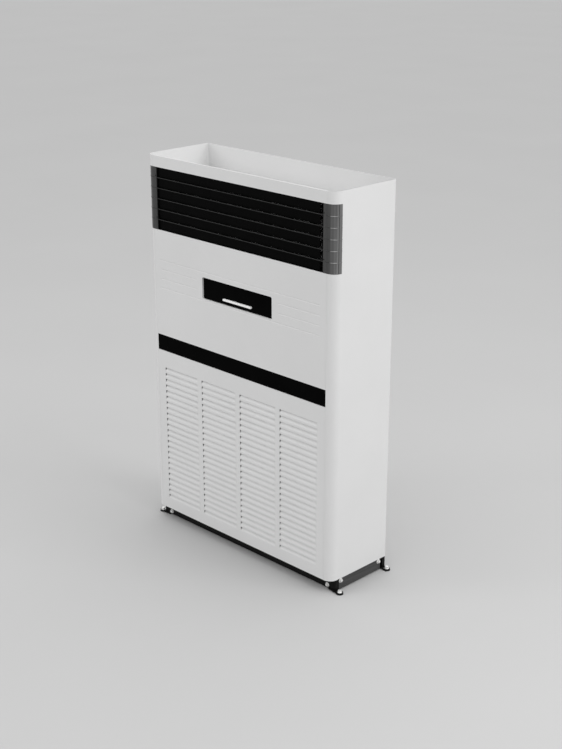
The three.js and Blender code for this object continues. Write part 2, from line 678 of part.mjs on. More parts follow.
/** Black duct frame of the outlet with its slim cross bars and all pivot holes. */
function outletFrame() {
  const duct = cut(
    block(
      -FRAME_HALF_WIDTH, FRAME_HALF_WIDTH, FRAME_FRONT_Y, FRAME_BACK_Y,
      FRAME_BOTTOM - FRAME_WALL, FRAME_TOP + FRAME_WALL,
    ),
    block(-FRAME_INNER_X, FRAME_INNER_X, FRAME_FRONT_Y - 5, FRAME_BACK_Y + 5, FRAME_BOTTOM, FRAME_TOP),
  );
  const bars = [];
  const holes = [];
  for (let i = 0; i < BLADE_COUNT - 1; i += 1) {
    const half = BAR_HEIGHT / 2;
    bars.push(block(
      -OUTLET_HALF_WIDTH, OUTLET_HALF_WIDTH, FRONT_Y - BAR_PROUD, FRONT_Y + 3.6, barZ(i) - half, barZ(i) + half,
    ));
  }
  for (let i = 0; i < BLADE_COUNT; i += 1) {
    const reach = FRAME_HALF_WIDTH + 5;
    holes.push(rodX(PIVOT_HOLE, -reach, reach, BLADE_AXIS_Y, bladeZ(i), 6));
  }
  for (let i = 0; i < VANE_COUNT; i += 1) {
    holes.push(rodZ(PIVOT_HOLE, vaneX(i), VANE_AXIS_Y, FRAME_BOTTOM - 9, FRAME_TOP + 9, 6));
  }
  holes.push(rodX(
    PIVOT_RADIUS, FRAME_INNER_X - 5, FRAME_HALF_WIDTH + 5, BLADE_AXIS_Y + MOTOR_OFFSET_Y, MIDDLE_Z, 10,
  ));
  return cut(join(duct, ...bars), ...holes);
}

/** Right outlet cheek: it wraps the rounded corner and carries the lines of the bars round it. */
function outletCheek() {
  const wall = 3;
  const wrap = (offset, x0) => bentPath([
    [x0, FRONT_Y + offset],
    [HALF_WIDTH - offset, FRONT_Y + offset, CORNER_RADIUS - offset],
    [HALF_WIDTH - offset, FRONT_Y + CORNER_RADIUS],
  ]).slice(0, -1);
  const face = alongZ(ribbon(wrap(wall / 2, OUTLET_HALF_WIDTH + GAP), wall), OUTLET_BOTTOM, OUTLET_TOP);
  const tongue = block(
    HALF_WIDTH - 4.2, HALF_WIDTH - SHEET - 2 * GAP, FRONT_Y + 38, FRONT_Y + 58, OUTLET_BOTTOM + 6, OUTLET_TOP - 6,
  );
  const lip = block(
    OUTLET_HALF_WIDTH + GAP, OUTLET_HALF_WIDTH + GAP + 2, FRONT_Y + 1, FRONT_Y + 14, OUTLET_BOTTOM, OUTLET_TOP,
  );
  const ridges = [];
  for (let i = 0; i < BLADE_COUNT - 1; i += 1) {
    const half = BAR_HEIGHT / 2;
    const line = ribbon(wrap((1 - BAR_PROUD) / 2, OUTLET_HALF_WIDTH + GAP), BAR_PROUD + 1);
    ridges.push(alongZ(line, barZ(i) - half, barZ(i) + half));
  }
  return join(face, tongue, lip, ...ridges);
}

const BLADE_LEFT = 4 - FRAME_INNER_X;
const BLADE_RIGHT = FRAME_INNER_X - 20;
const LINK_X = BLADE_RIGHT + 5;
const LINK_THICKNESS = 4;

const crankY = CRANK_RADIUS * Math.cos(THREE.MathUtils.degToRad(CRANK_REST_DEGREES));
const crankZ = CRANK_RADIUS * Math.sin(THREE.MathUtils.degToRad(CRANK_REST_DEGREES));

/** Outline of a crank in (y, z): a boss on the pivot, an eye on the pin and the web between. */
function crankOutline() {
  const angle = THREE.MathUtils.degToRad(CRANK_REST_DEGREES);
  const outline = new THREE.Shape();
  outline.absarc(0, 0, 5, angle + Math.PI / 2, angle + 1.5 * Math.PI);
  outline.absarc(crankY, crankZ, 3.6, angle - Math.PI / 2, angle + Math.PI / 2);
  return outline;
}

/** A horizontal blade about its own axis: slim curved section, pivots and crank. */
function outletBlade() {
  const half = BLADE_CHORD / 2;
  const bulge = BLADE_THICKNESS / 2;
  const section = new THREE.Shape();
  section.moveTo(-1, -half);
  section.quadraticCurveTo(-bulge - 1, 0, -1, half);
  section.lineTo(0.6, half);
  section.quadraticCurveTo(bulge + 2, 0, 0.6, -half);
  const body = new THREE.ExtrudeGeometry(section, {
    depth: BLADE_RIGHT - BLADE_LEFT, bevelEnabled: false, curveSegments: 3,
  });
  body.translate(0, 0, BLADE_LEFT);
  body.applyMatrix4(new THREE.Matrix4().makeBasis(AXIS_Y, AXIS_Z, AXIS_X));
  const crank = new THREE.ExtrudeGeometry(crankOutline(), { depth: 3, bevelEnabled: false, curveSegments: 3 });
  crank.translate(0, 0, BLADE_RIGHT - 0.5);
  crank.applyMatrix4(new THREE.Matrix4().makeBasis(AXIS_Y, AXIS_Z, AXIS_X));
  return join(
    body,
    crank,
    rodX(PIVOT_RADIUS, -FRAME_HALF_WIDTH + 0.5, BLADE_LEFT + 3, 0, 0, 6),
    rodX(PIVOT_RADIUS, BLADE_RIGHT - 3, FRAME_HALF_WIDTH - 0.5, 0, 0, 6),
    rodX(CRANK_PIN_RADIUS, BLADE_RIGHT + 1, LINK_X + LINK_THICKNESS + 1, crankY, crankZ, 6),
  );
}

/** Upright bar that ties the blades' cranks together, with an arm back to the drive crank. */
function bladeLink() {
  const half = 3.6;
  const low = bladeZ(0) + crankZ - 5;
  const high = bladeZ(BLADE_COUNT - 1) + crankZ + 5;
  const y = BLADE_AXIS_Y + crankY;
  const bar = block(LINK_X, LINK_X + LINK_THICKNESS, y - half, y + half, low, high);
  const armZ = MIDDLE_Z + crankZ;
  const arm = block(LINK_X, LINK_X + LINK_THICKNESS, y, y + MOTOR_OFFSET_Y + 5, armZ - half, armZ + half);
  const holes = [rodX(CRANK_PIN_EYE, LINK_X - 5, LINK_X + 9, y + MOTOR_OFFSET_Y, armZ, 6)];
  for (let i = 0; i < BLADE_COUNT; i += 1) {
    holes.push(rodX(CRANK_PIN_EYE, LINK_X - 5, LINK_X + 9, y, bladeZ(i) + crankZ, 6));
  }
  return cut(join(bar, arm), ...holes);
}

/** Drive crank on the end of the blade motor's shaft. */
function driveCrank() {
  const start = LINK_X + LINK_THICKNESS + 2;
  const web = new THREE.ExtrudeGeometry(crankOutline(), { depth: 3, bevelEnabled: false, curveSegments: 4 });
  web.translate(0, 0, start);
  web.applyMatrix4(new THREE.Matrix4().makeBasis(AXIS_Y, AXIS_Z, AXIS_X));
  return join(
    web,
    rodX(PIVOT_RADIUS - GAP, start + 1, FRAME_HALF_WIDTH - 0.2, 0, 0, 8),
    rodX(CRANK_PIN_RADIUS, LINK_X - 1, start + 1, crankY, crankZ, 8),
  );
}

/** Small geared motor: a round can with two screw ears. */
function swingMotor() {
  const outline = new THREE.Shape();
  outline.absarc(17, 0, 4, -Math.PI / 2, Math.PI / 2);
  outline.absarc(-17, 0, 4, Math.PI / 2, 1.5 * Math.PI);
  const ears = new THREE.ExtrudeGeometry(outline, { depth: 1.5, bevelEnabled: false, curveSegments: 4 });
  const can = new THREE.CylinderGeometry(13, 13, 18, 12).rotateX(Math.PI / 2).translate(0, 0, 9);
  return join(can, ears);
}

/** An upright vane about its own axis, notched at the rear where the link passes. */
function outletVane() {
  const half = VANE_CHORD / 2;
  const low = FRAME_BOTTOM + 4 - MIDDLE_Z;
  const high = FRAME_TOP - 4 - MIDDLE_Z;
  const section = new THREE.Shape();
  section.moveTo(0, -half);
  section.lineTo(2, -half / 3);
  section.lineTo(1.2, half);
  section.lineTo(-1.2, half);
  section.lineTo(-2, -half / 3);
  const leaf = new THREE.ExtrudeGeometry(section, { depth: high - low, bevelEnabled: false });
  const notch = block(-5, 5, VANE_PIN_REACH - 8, half + 5, -7, 7);
  return join(
    cut(leaf.translate(0, 0, low), notch),
    rodZ(PIVOT_RADIUS, 0, 0, low - 6, low + 3, 6),
    rodZ(PIVOT_RADIUS, 0, 0, high - 3, high + 6, 6),
    rodZ(CRANK_PIN_RADIUS, 0, VANE_PIN_REACH, -8, 8, 6),
  );
}

/** Level bar that ties the vanes' rear pins together. */
function vaneLink() {
  const y = VANE_AXIS_Y + VANE_PIN_REACH;
  const half = 3.6;
  const bar = block(
    vaneX(0) - 6, vaneX(VANE_COUNT - 1) + 6, y - half, y + half, MIDDLE_Z - 2.5, MIDDLE_Z + 2.5,
  );
  const holes = [];
  for (let i = 0; i < VANE_COUNT; i += 1) {
    holes.push(rodZ(CRANK_PIN_EYE, vaneX(i), y, MIDDLE_Z - 9, MIDDLE_Z + 9, 6));
  }
  return cut(bar, ...holes);
}

add('outlet_frame', outletFrame(), BLACK_PLASTIC);
add('right_outlet_cheek', outletCheek(), DARK_PLASTIC);
add('left_outlet_cheek', mirrored(outletCheek()), DARK_PLASTIC);
for (let i = 0; i < BLADE_COUNT; i += 1) {
  add(`outlet_blade_${i + 1}`, outletBlade(), BLACK_PLASTIC, [0, BLADE_AXIS_Y, bladeZ(i)]);
}
add('blade_link', bladeLink(), BLACK_PLASTIC);
add('blade_drive_crank', driveCrank(), WHITE_PLASTIC, [0, BLADE_AXIS_Y + MOTOR_OFFSET_Y, MIDDLE_Z]);
add('blade_motor', swingMotor().rotateY(Math.PI / 2), ZINC_STEEL, [
  FRAME_HALF_WIDTH + GAP, BLADE_AXIS_Y + MOTOR_OFFSET_Y, MIDDLE_Z,
]);
for (let i = 0; i < VANE_COUNT; i += 1) {
  add(`outlet_vane_${i + 1}`, outletVane(), BLACK_PLASTIC, [vaneX(i), VANE_AXIS_Y, MIDDLE_Z]);
}
add('vane_link', vaneLink(), BLACK_PLASTIC);
add('vane_motor', swingMotor().rotateX(Math.PI), ZINC_STEEL, [
  vaneX(0), VANE_AXIS_Y, FRAME_BOTTOM - FRAME_WALL - GAP,
]);

// ------------------------------------------------------------------------- blower

const HOUSING_HALF = WHEEL_WIDTH / 2 + 8;
const INLET_RADIUS = 100;

/** Spiral casing line about the shaft, from the tongue round to the upright outlet wall. */
function scrollPath() {
  const start = 130;
  const steps = 12;
  const path = [new THREE.Vector2(SHAFT_Y - 72, DECK_Z + 9)];
  for (let k = 0; k <= steps; k += 1) {
    const turn = k / steps;
    const angle = THREE.MathUtils.degToRad(start + turn * (360 - start));
    const radius = WHEEL_RADIUS * (1.08 + 0.34 * turn);
    path.push(new THREE.Vector2(SHAFT_Y + radius * Math.cos(angle), SHAFT_Z + radius * Math.sin(angle)));
  }
  path.push(new THREE.Vector2(SHAFT_Y + WHEEL_RADIUS * 1.42, DECK_Z + 9));
  return path;
}

/** Scroll housing of the right wheel: spiral wall, closed inner cheek, inlet mouth on the outer one. */
function scrollHousing() {
  const path = scrollPath();
  const left = WHEEL_X - HOUSING_HALF;
  const right = WHEEL_X + HOUSING_HALF;
  const wrap = alongX(ribbon(path, SHEET), left, right);
  const cheek = (x) => alongX(new THREE.Shape(path), x, x + SHEET);
  const mouth = turnedX([
    [INLET_RADIUS - 1, right - 6], [INLET_RADIUS + 2, right - 6],
    [INLET_RADIUS + 2, right + 2], [INLET_RADIUS - 1, right + 2],
  ], SHAFT_Y, SHAFT_Z, 18);
  const inlet = rodX(INLET_RADIUS, WHEEL_X, right + 5, SHAFT_Y, SHAFT_Z, 18);
  const shaftHole = rodX(30, left - 5, WHEEL_X, SHAFT_Y, SHAFT_Z);
  const aboveDeck = block(left - 5, right + 5, FRONT_Y, BACK_Y, DECK_Z - 1, DECK_Z + 30);
  return join(cut(join(wrap, cheek(left + 1), cheek(right - SHEET - 1)), inlet, shaftHole, aboveDeck), mouth);
}

/** Right squirrel-cage wheel: a hub disc on the motor's side, curved blades and an open hoop. */
function blowerWheel() {
  const inner = WHEEL_RADIUS - 24;
  const half = WHEEL_WIDTH / 2;
  const hoop = turnedX([
    [inner - 1, half - 4], [WHEEL_RADIUS + 1, half - 4], [WHEEL_RADIUS + 1, half], [inner - 1, half],
  ], 0, 0, WHEEL_BLADES);
  const hub = turnedX([
    [SHAFT_RADIUS + GAP, -half], [WHEEL_RADIUS + 1, -half], [WHEEL_RADIUS + 1, 3 - half],
    [20, 3 - half], [20, 32 - half], [SHAFT_RADIUS + GAP, 32 - half],
  ], 0, 0, WHEEL_BLADES);
  const bladePath = [[inner + 1, 0], [WHEEL_RADIUS - 3, 7]].map(([radius, degrees]) => {
    const angle = THREE.MathUtils.degToRad(degrees);
    return new THREE.Vector2(radius * Math.cos(angle), radius * Math.sin(angle));
  });
  const blade = alongX(ribbon(bladePath, 1.6), 1 - half, half - 1);
  const blades = Array.from({ length: WHEEL_BLADES }, (_, i) => (
    blade.clone().rotateX((2 * Math.PI * i) / WHEEL_BLADES)
  ));
  return join(hoop, hub, ...blades);
}

function fanMotor() {
  const bore = SHAFT_RADIUS + GAP;
  const shield = MOTOR_HALF + 12;
  const boss = shield + 16;
  return turnedX([
    [bore, -boss], [22, -boss], [22, -shield], [MOTOR_RADIUS - 12, -shield], [MOTOR_RADIUS, -MOTOR_HALF],
    [MOTOR_RADIUS, MOTOR_HALF], [MOTOR_RADIUS - 12, shield], [22, shield], [22, boss], [bore, boss],
  ], SHAFT_Y, SHAFT_Z, MOTOR_SIDES);
}

/** Cradle that hangs the motor from the deck: two straps and their cross plate. */
function motorBracket() {
  const radius = MOTOR_RADIUS + 1.5;
  const width = 24;
  const strap = (x) => {
    const end = x + width;
    const section = [[radius, x], [radius + 4, x], [radius + 4, end], [radius, end]];
    const band = turnedX(section, SHAFT_Y, SHAFT_Z, MOTOR_SIDES);
    const post = block(x, end, SHAFT_Y - 3, SHAFT_Y + 3, SHAFT_Z + radius + 1, DECK_Z - 4);
    return join(band, post);
  };
  const plate = block(-70, 70, SHAFT_Y - 40, SHAFT_Y + 40, DECK_Z - 5, DECK_Z - GAP);
  return join(strap(-MOTOR_HALF), strap(MOTOR_HALF - width), plate);
}

/** Steel deck between the blower and the coil, open over both scroll outlets. */
function blowerDeck() {
  const rearWall = SHAFT_Y + WHEEL_RADIUS * 1.42 - 2;
  const sheet = common(
    block(-HALF_WIDTH, HALF_WIDTH, FRONT_Y + 28, BACK_Y, DECK_Z, DECK_Z + 2),
    casingInside(2.6, DECK_Z - 20, DECK_Z + 40),
  );
  const half = HOUSING_HALF - 3;
  const mouth = block(WHEEL_X - half, WHEEL_X + half, SHAFT_Y - 68, rearWall, DECK_Z - 9, DECK_Z + 9);
  const frontFold = block(-540, 540, FRONT_Y + 28, FRONT_Y + 29.5, DECK_Z - 20, DECK_Z + 1);
  return cut(join(sheet, frontFold), mouth, mirrored(mouth));
}

add('right_scroll_housing', scrollHousing(), ZINC_STEEL);
add('left_scroll_housing', mirrored(scrollHousing()), ZINC_STEEL);
add('right_blower_wheel', blowerWheel(), ZINC_STEEL, [WHEEL_X, SHAFT_Y, SHAFT_Z]);
add('left_blower_wheel', mirrored(blowerWheel()), ZINC_STEEL, [-WHEEL_X, SHAFT_Y, SHAFT_Z]);
add('fan_shaft', rodX(SHAFT_RADIUS, -SHAFT_HALF, SHAFT_HALF, SHAFT_Y, SHAFT_Z, 16), BRIGHT_STEEL);
add('fan_motor', fanMotor(), GREY_PAINT);
add('motor_bracket', motorBracket(), ZINC_STEEL);
add('blower_deck', blowerDeck(), ZINC_STEEL);

// -------------------------------------------------------- coil, drain and electrics

const COIL_THICKNESS = 66;
const COIL_LENGTH = 620;
const COIL_TILT = 24; // degrees from upright, the top towards the rear
const COIL_FOOT = [-112, 772];
const COIL_HALF_SPAN = 520;
const PAN_Z = 706;
const PAN_NEAR_Y = FRONT_Y + 30;
const PAN_FAR_Y = -62;
const FIN_COUNT = 39;
const FIN_THICKNESS = 1.6;
const RETURN_BENDS = 4; // at each end
const BOX_LEFT = 425;
const BOX_RIGHT = 588;
const BOX_FRONT_Y = FRONT_Y + 36;
const BOX_BACK_Y = -10;
const BOX_LOW = 300;
const BOX_HIGH = 600;

/** A U of tube that joins two rows of the coil: half a ring standing out along +X. */
function returnBend(z) {
  const radius = 16;
  const tube = 5;
  const around = Array.from({ length: 5 }, (_, k) => (Math.PI * k) / 4);
  const path = new THREE.CatmullRomCurve3(around.map((angle) => (
    new THREE.Vector3(COIL_HALF_SPAN + radius * Math.sin(angle), -radius * Math.cos(angle), z)
  )));
  const corners = Array.from({ length: 5 }, (_, k) => (2 * Math.PI * k) / 5);
  const section = new THREE.Shape(corners.map((angle) => (
    new THREE.Vector2(tube * Math.cos(angle), tube * Math.sin(angle))
  )));
  return new THREE.ExtrudeGeometry(section, { steps: 4, extrudePath: path, bevelEnabled: false });
}

/** Coil leaning back: spaced fins between four plates, with return bends at each end. */
function evaporatorCoil() {
  const half = COIL_THICKNESS / 2;
  const pitch = (2 * COIL_HALF_SPAN) / (FIN_COUNT + 1);
  const fins = Array.from({ length: FIN_COUNT }, (_, i) => {
    const x = (i + 1) * pitch - COIL_HALF_SPAN;
    return block(x - FIN_THICKNESS / 2, x + FIN_THICKNESS / 2, -half, half, 1, COIL_LENGTH - 1);
  });
  const longPlate = (z) => block(-COIL_HALF_SPAN, COIL_HALF_SPAN, -half - 1, half + 1, z, z + 2);
  const endPlate = block(COIL_HALF_SPAN - 1, COIL_HALF_SPAN + 2, -half - 6, half + 6, -4, COIL_LENGTH + 4);
  const step = COIL_LENGTH / RETURN_BENDS;
  const bends = Array.from({ length: RETURN_BENDS }, (_, i) => returnBend((i + 0.5) * step));
  const coil = join(
    longPlate(0), longPlate(COIL_LENGTH - 2), endPlate, mirrored(endPlate),
    ...fins, ...bends, ...bends.map(mirrored),
  );
  return coil.rotateX(-THREE.MathUtils.degToRad(COIL_TILT)).translate(0, ...COIL_FOOT);
}

/** Drain pan: a trough on two legs, with a bracket at each end that the coil is screwed to. */
function drainPan() {
  const end = COIL_HALF_SPAN + 30;
  const wall = 2;
  const outer = block(-end, end, PAN_NEAR_Y, PAN_FAR_Y, PAN_Z, PAN_Z + 42);
  const inner = block(wall - end, end - wall, PAN_NEAR_Y + wall, PAN_FAR_Y - wall, PAN_Z + wall, PAN_Z + 60);
  const leg = block(498, 501, PAN_NEAR_Y + 10, PAN_FAR_Y - 10, DECK_Z + 2 + GAP, PAN_Z + 1);
  const plate = COIL_HALF_SPAN + 2 + GAP;
  const bracket = block(plate, plate + wall, -130, -80, PAN_Z + 1, 820);
  return join(cut(outer, inner), leg, mirrored(leg), bracket, mirrored(bracket));
}

/** Electrical box beside the right scroll: a sheet tray open to the front, hung from the deck. */
function controlBox() {
  const outer = block(BOX_LEFT, BOX_RIGHT, BOX_FRONT_Y, BOX_BACK_Y, BOX_LOW, BOX_HIGH);
  const inner = block(
    BOX_LEFT + SHEET, BOX_RIGHT - SHEET, BOX_FRONT_Y - 5, BOX_BACK_Y - SHEET,
    BOX_LOW + SHEET, BOX_HIGH - SHEET,
  );
  const hanger = block(BOX_LEFT, BOX_RIGHT, BOX_BACK_Y - SHEET, BOX_BACK_Y, BOX_HIGH - 1, DECK_Z - GAP);
  const tab = block(BOX_LEFT, BOX_RIGHT, BOX_BACK_Y - 22, BOX_BACK_Y, DECK_Z - GAP - SHEET, DECK_Z - GAP);
  return join(cut(outer, inner), hanger, tab);
}

/** Lid that laps over the open side of the electrical box. */
function controlBoxLid() {
  const around = (margin, depth) => block(
    BOX_LEFT - margin, BOX_RIGHT + margin, BOX_FRONT_Y - margin, BOX_FRONT_Y + depth,
    BOX_LOW - margin, BOX_HIGH + margin,
  );
  return cut(around(GAP + SHEET, 8), around(GAP, 12));
}

add('evaporator_coil', evaporatorCoil(), FIN_ALUMINIUM);
add('drain_pan', drainPan(), BLACK_PLASTIC);
add('control_box', controlBox(), ZINC_STEEL);
add('control_box_lid', controlBoxLid(), ZINC_STEEL);

export default airConditioner;
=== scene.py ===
"""Looks of a floor standing air conditioner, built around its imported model.

Every length is in metres. +Z is up, +X is right seen from the front, and the front looks along -Y.
"""
import json
import math

import bmesh
import bpy
from bpy.props import FloatProperty, FloatVectorProperty, IntProperty, PointerProperty
from bpy.types import Operator, Panel, PropertyGroup
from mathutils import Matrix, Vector


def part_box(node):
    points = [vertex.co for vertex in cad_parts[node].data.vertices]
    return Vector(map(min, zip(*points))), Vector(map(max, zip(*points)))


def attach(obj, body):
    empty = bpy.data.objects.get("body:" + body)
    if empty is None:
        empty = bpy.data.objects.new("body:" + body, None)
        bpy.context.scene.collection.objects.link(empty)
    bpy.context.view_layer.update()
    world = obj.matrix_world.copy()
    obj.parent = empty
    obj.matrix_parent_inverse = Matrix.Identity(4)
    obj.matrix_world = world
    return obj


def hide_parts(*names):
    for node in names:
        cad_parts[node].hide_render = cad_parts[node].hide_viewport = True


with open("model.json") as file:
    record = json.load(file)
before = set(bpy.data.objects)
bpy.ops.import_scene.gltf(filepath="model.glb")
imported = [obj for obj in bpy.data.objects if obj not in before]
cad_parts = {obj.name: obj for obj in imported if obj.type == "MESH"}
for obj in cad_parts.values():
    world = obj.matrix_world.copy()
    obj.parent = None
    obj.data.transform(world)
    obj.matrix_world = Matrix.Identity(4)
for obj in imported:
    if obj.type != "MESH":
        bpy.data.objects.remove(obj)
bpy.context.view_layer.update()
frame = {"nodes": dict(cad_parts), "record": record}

bl_info = {
    "name": "Floor Standing Air Conditioner",
    "version": (1, 0, 0),
    "blender": (4, 5, 0),
    "location": "View3D > Sidebar > Air Conditioner",
    "description": "Models and finishes the cabinet, its louvres, outlet, display and plinth",
    "category": "Object",
}

MM = 0.001

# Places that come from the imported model.
CASING_LOW, CASING_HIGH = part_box("right_side_panel")
DOOR_LOW, DOOR_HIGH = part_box("intake_panel")
PANEL_LOW, PANEL_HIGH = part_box("upper_front_panel")
FRAME_LOW, FRAME_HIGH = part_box("outlet_frame")
CHEEK_LOW, CHEEK_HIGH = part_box("right_outlet_cheek")
FRONT = DOOR_LOW.y
BACK = CASING_HIGH.y
HALF_WIDTH = CASING_HIGH.x
GAP = 0.3 * MM
CORNER = 42.8 * MM
PLINTH_TOP = CASING_LOW.z
DISPLAY_HALF = 227.5 * MM
DISPLAY_LOW = 1226.5 * MM
DISPLAY_HIGH = 1329.5 * MM
DUCT_HALF = 530.5 * MM
DUCT_WALL = 2.7 * MM
ROW = (CHEEK_HIGH.z - CHEEK_LOW.z) / 6
BLADE_AXES = [CHEEK_LOW.z + (row + 0.5) * ROW for row in range(6)]
BARS = [CHEEK_LOW.z + (row + 1) * ROW for row in range(5)]
VANE_AXES = [(column - 3) * 140 * MM for column in range(7)]
BLADE_Y = FRONT + 9 * MM
VANE_Y = FRONT + 60 * MM
VANE_PIN = 18 * MM
CRANK = 13 * MM
CRANK_LEAN = 38  # degrees above level
CRANK_Y = CRANK * math.cos(math.radians(CRANK_LEAN))
CRANK_Z = CRANK * math.sin(math.radians(CRANK_LEAN))
DRIVE_Y = FRONT + 31 * MM
SHAFT_Y, SHAFT_Z = 3 * MM, 430 * MM
WHEEL_X = 255 * MM
PLINTH_HALF = 592 * MM
FOOT_X = 614 * MM
FOOT_Y = {"front": FRONT + 47 * MM, "rear": FRONT + 371 * MM}
FOOT_HOLE = 6.3 * MM


# ---------------------------------------------------------------- what a user may change

class CabinetShape(PropertyGroup):
    """Sizes of the bent sheets and of the pressed and cut features."""

    rear_radius: FloatProperty(name="Rear radius", description="Upright rear corners, seen from above",
                               default=14 * MM, unit="LENGTH")
    sheet: FloatProperty(name="Sheet", description="Thickness of the painted steel sheet",
                         default=1.2 * MM, unit="LENGTH")
    edge: FloatProperty(name="Edge", description="Rounding of cut and folded edges",
                        default=0.4 * MM, unit="LENGTH")
    columns: IntProperty(name="Louvre columns", description="Columns of slots in the intake door", default=4)
    rows: IntProperty(name="Louvre rows", description="Rows of slots in the intake door", default=24)
    slot_width: FloatProperty(name="Slot width", description="Width of one slot",
                              default=232 * MM, unit="LENGTH")
    slot_height: FloatProperty(name="Slot height", description="Height of one slot",
                               default=19 * MM, unit="LENGTH")
    column_pitch: FloatProperty(name="Column pitch", default=261.3 * MM, unit="LENGTH",
                                description="Distance between the middles of two columns")
    row_pitch: FloatProperty(name="Row pitch", description="Distance between the slots of one column",
                             default=29.35 * MM, unit="LENGTH")
    lowest_slot: FloatProperty(name="Lowest slot", description="Height of the lowest slot's lower edge",
                               default=124 * MM, unit="LENGTH")
    flap_depth: FloatProperty(name="Flap depth", description="How far a flap leans in",
                              default=8 * MM, unit="LENGTH")


class Finishes(PropertyGroup):
    """Colours and gloss of the finishes."""

    white: FloatVectorProperty(name="White paint", description="Powder coat of the cabinet", subtype="COLOR",
                               size=3, default=(0.70, 0.70, 0.70))
    white_gloss: FloatProperty(name="White paint roughness", description="Roughness of the powder coat",
                               subtype="FACTOR", default=0.36)
    black: FloatVectorProperty(name="Black", description="Polished and matt black plastic", subtype="COLOR",
                               size=3, default=(0.002, 0.002, 0.002))
    smoke: FloatVectorProperty(name="Smoke", description="Dark grey plastic of the outlet's cheeks",
                               subtype="COLOR", size=3, default=(0.031, 0.031, 0.031))
    # The bars' dark grey is painted sheen: the duct's black plastic made lighter to stand for the light the
    # bars catch.
    bar: FloatVectorProperty(name="Bars", description="Slim cross bars of the outlet", subtype="COLOR",
                             size=3, default=(0.022, 0.022, 0.022))
    plinth: FloatVectorProperty(name="Plinth", description="Dark paint of the plinth", subtype="COLOR",
                                size=3, default=(0.05, 0.05, 0.05))
    # Painted shade: the cross beams get a darker copy of the plinth's dark paint, standing for the shade
    # they sit in under the cabinet.
    beam: FloatVectorProperty(name="Cross beams", description="Black paint of the plinth's cross beams",
                              subtype="COLOR", size=3, default=(0.006, 0.006, 0.006))
    steel: FloatVectorProperty(name="Bright steel", description="Bolts and the shaft", subtype="COLOR",
                               size=3, default=(0.94, 0.94, 0.93))


class Studio(PropertyGroup):
    """Floor, lamps and camera."""

    floor: FloatVectorProperty(name="Floor", description="Colour of the floor", subtype="COLOR",
                               size=3, default=(0.50, 0.50, 0.50))
    horizon: FloatProperty(name="Horizon", description="Strength of the even light at the horizon",
                           default=0.5)
    zenith: FloatProperty(name="Zenith", description="Strength of the even light from above", default=1.3)
    side_lamp: FloatProperty(name="Side lamp", description="Power of the large lamp on the right",
                             default=160.0, unit="POWER")
    front_lamp: FloatProperty(name="Front lamp", description="Power of the lamp at the upper left",
                              default=55.0, unit="POWER")
    lens: FloatProperty(name="Lens", description="Focal length", default=65.14, subtype="DISTANCE_CAMERA")


# ------------------------------------------------------------------------ modelling helpers

def deselect():
    if bpy.context.mode != "OBJECT":
        bpy.ops.object.mode_set(mode="OBJECT")
    bpy.ops.object.select_all(action="DESELECT")


def activate(piece):
    deselect()
    piece.select_set(True)
    bpy.context.view_layer.objects.active = piece


def settle():
    """Puts the active object at the origin, its place in its mesh."""
    bpy.ops.object.transform_apply(location=True, rotation=True, scale=True)


def cube(name, low, high):
    deselect()
    low, high = Vector(low), Vector(high)
    bpy.ops.mesh.primitive_cube_add(size=1, location=(low + high) / 2)
    piece = bpy.context.active_object
    piece.name = piece.data.name = name
    piece.scale = high - low
    settle()
    return piece


def plate(name, corner, width, up):
    """A single face that runs along X from a corner, and from there along `up` in (y, z)."""
    deselect()
    up = Vector((0, *up))
    bpy.ops.mesh.primitive_plane_add(size=1, location=Vector(corner) + Vector((width, 0, 0)) / 2 + up / 2,
                                     rotation=(math.atan2(up.z, up.y), 0, 0))
    piece = bpy.context.active_object
    piece.name = piece.data.name = name
    piece.scale = (width, up.length, 1)
    settle()
    return piece


def disc(name, radius, depth, sides, centre=(0, 0, 0)):
    deselect()
    bpy.ops.mesh.primitive_cylinder_add(vertices=sides, radius=radius, depth=depth, location=centre)
    piece = bpy.context.active_object
    piece.name = piece.data.name = name
    settle()
    return piece


def pick(piece, kind, test):
    """In edit mode, selects only what passes the test: vertices, edges or faces."""
    if bpy.context.mode != "EDIT_MESH":
        activate(piece)
        bpy.ops.object.mode_set(mode="EDIT")
    bpy.ops.mesh.select_mode(type=kind)
    bpy.ops.mesh.select_all(action="DESELECT")
    mesh = bmesh.from_edit_mesh(piece.data)
    items = {"VERT": mesh.verts, "EDGE": mesh.edges, "FACE": mesh.faces}[kind]
    found = [item for item in items if test(item)]
    if not found:
        raise RuntimeError(f"{piece.name}: nothing to select")
    for item in found:
        item.select_set(True)
    mesh.select_flush_mode()
    bmesh.update_edit_mesh(piece.data)


def middle(item):
    return sum((v.co for v in item.verts), Vector()) / len(item.verts)


def near(value, target):
    return abs(value - target) < 0.02 * MM


def edge_at(x=None, y=None, z=None):
    """Test for an edge both of whose ends lie at the given places."""
    wanted = [(axis, place) for axis, place in enumerate((x, y, z)) if place is not None]

    def test(edge):
        return all(near(v.co[axis], place) for v in edge.verts for axis, place in wanted)
    return test


def extrude_edges(move):
    bpy.ops.mesh.extrude_edges_move(TRANSFORM_OT_translate={"value": move})


def extrude_faces(move):
    bpy.ops.mesh.extrude_region_move(TRANSFORM_OT_translate={"value": move})


def upright(edge):
    return abs(edge.verts[0].co.z - edge.verts[1].co.z) > MM


def slice_at(co, normal):
    bpy.ops.mesh.select_all(action="SELECT")
    bpy.ops.mesh.bisect(plane_co=co, plane_no=normal)


def outward():
    """Turns every face of the active object outwards."""
    if bpy.context.mode != "EDIT_MESH":
        bpy.ops.object.mode_set(mode="EDIT")
    bpy.ops.mesh.select_all(action="SELECT")
    bpy.ops.mesh.remove_doubles(threshold=0.005 * MM)
    bpy.ops.mesh.normals_make_consistent(inside=False)
    bpy.ops.object.mode_set(mode="OBJECT")


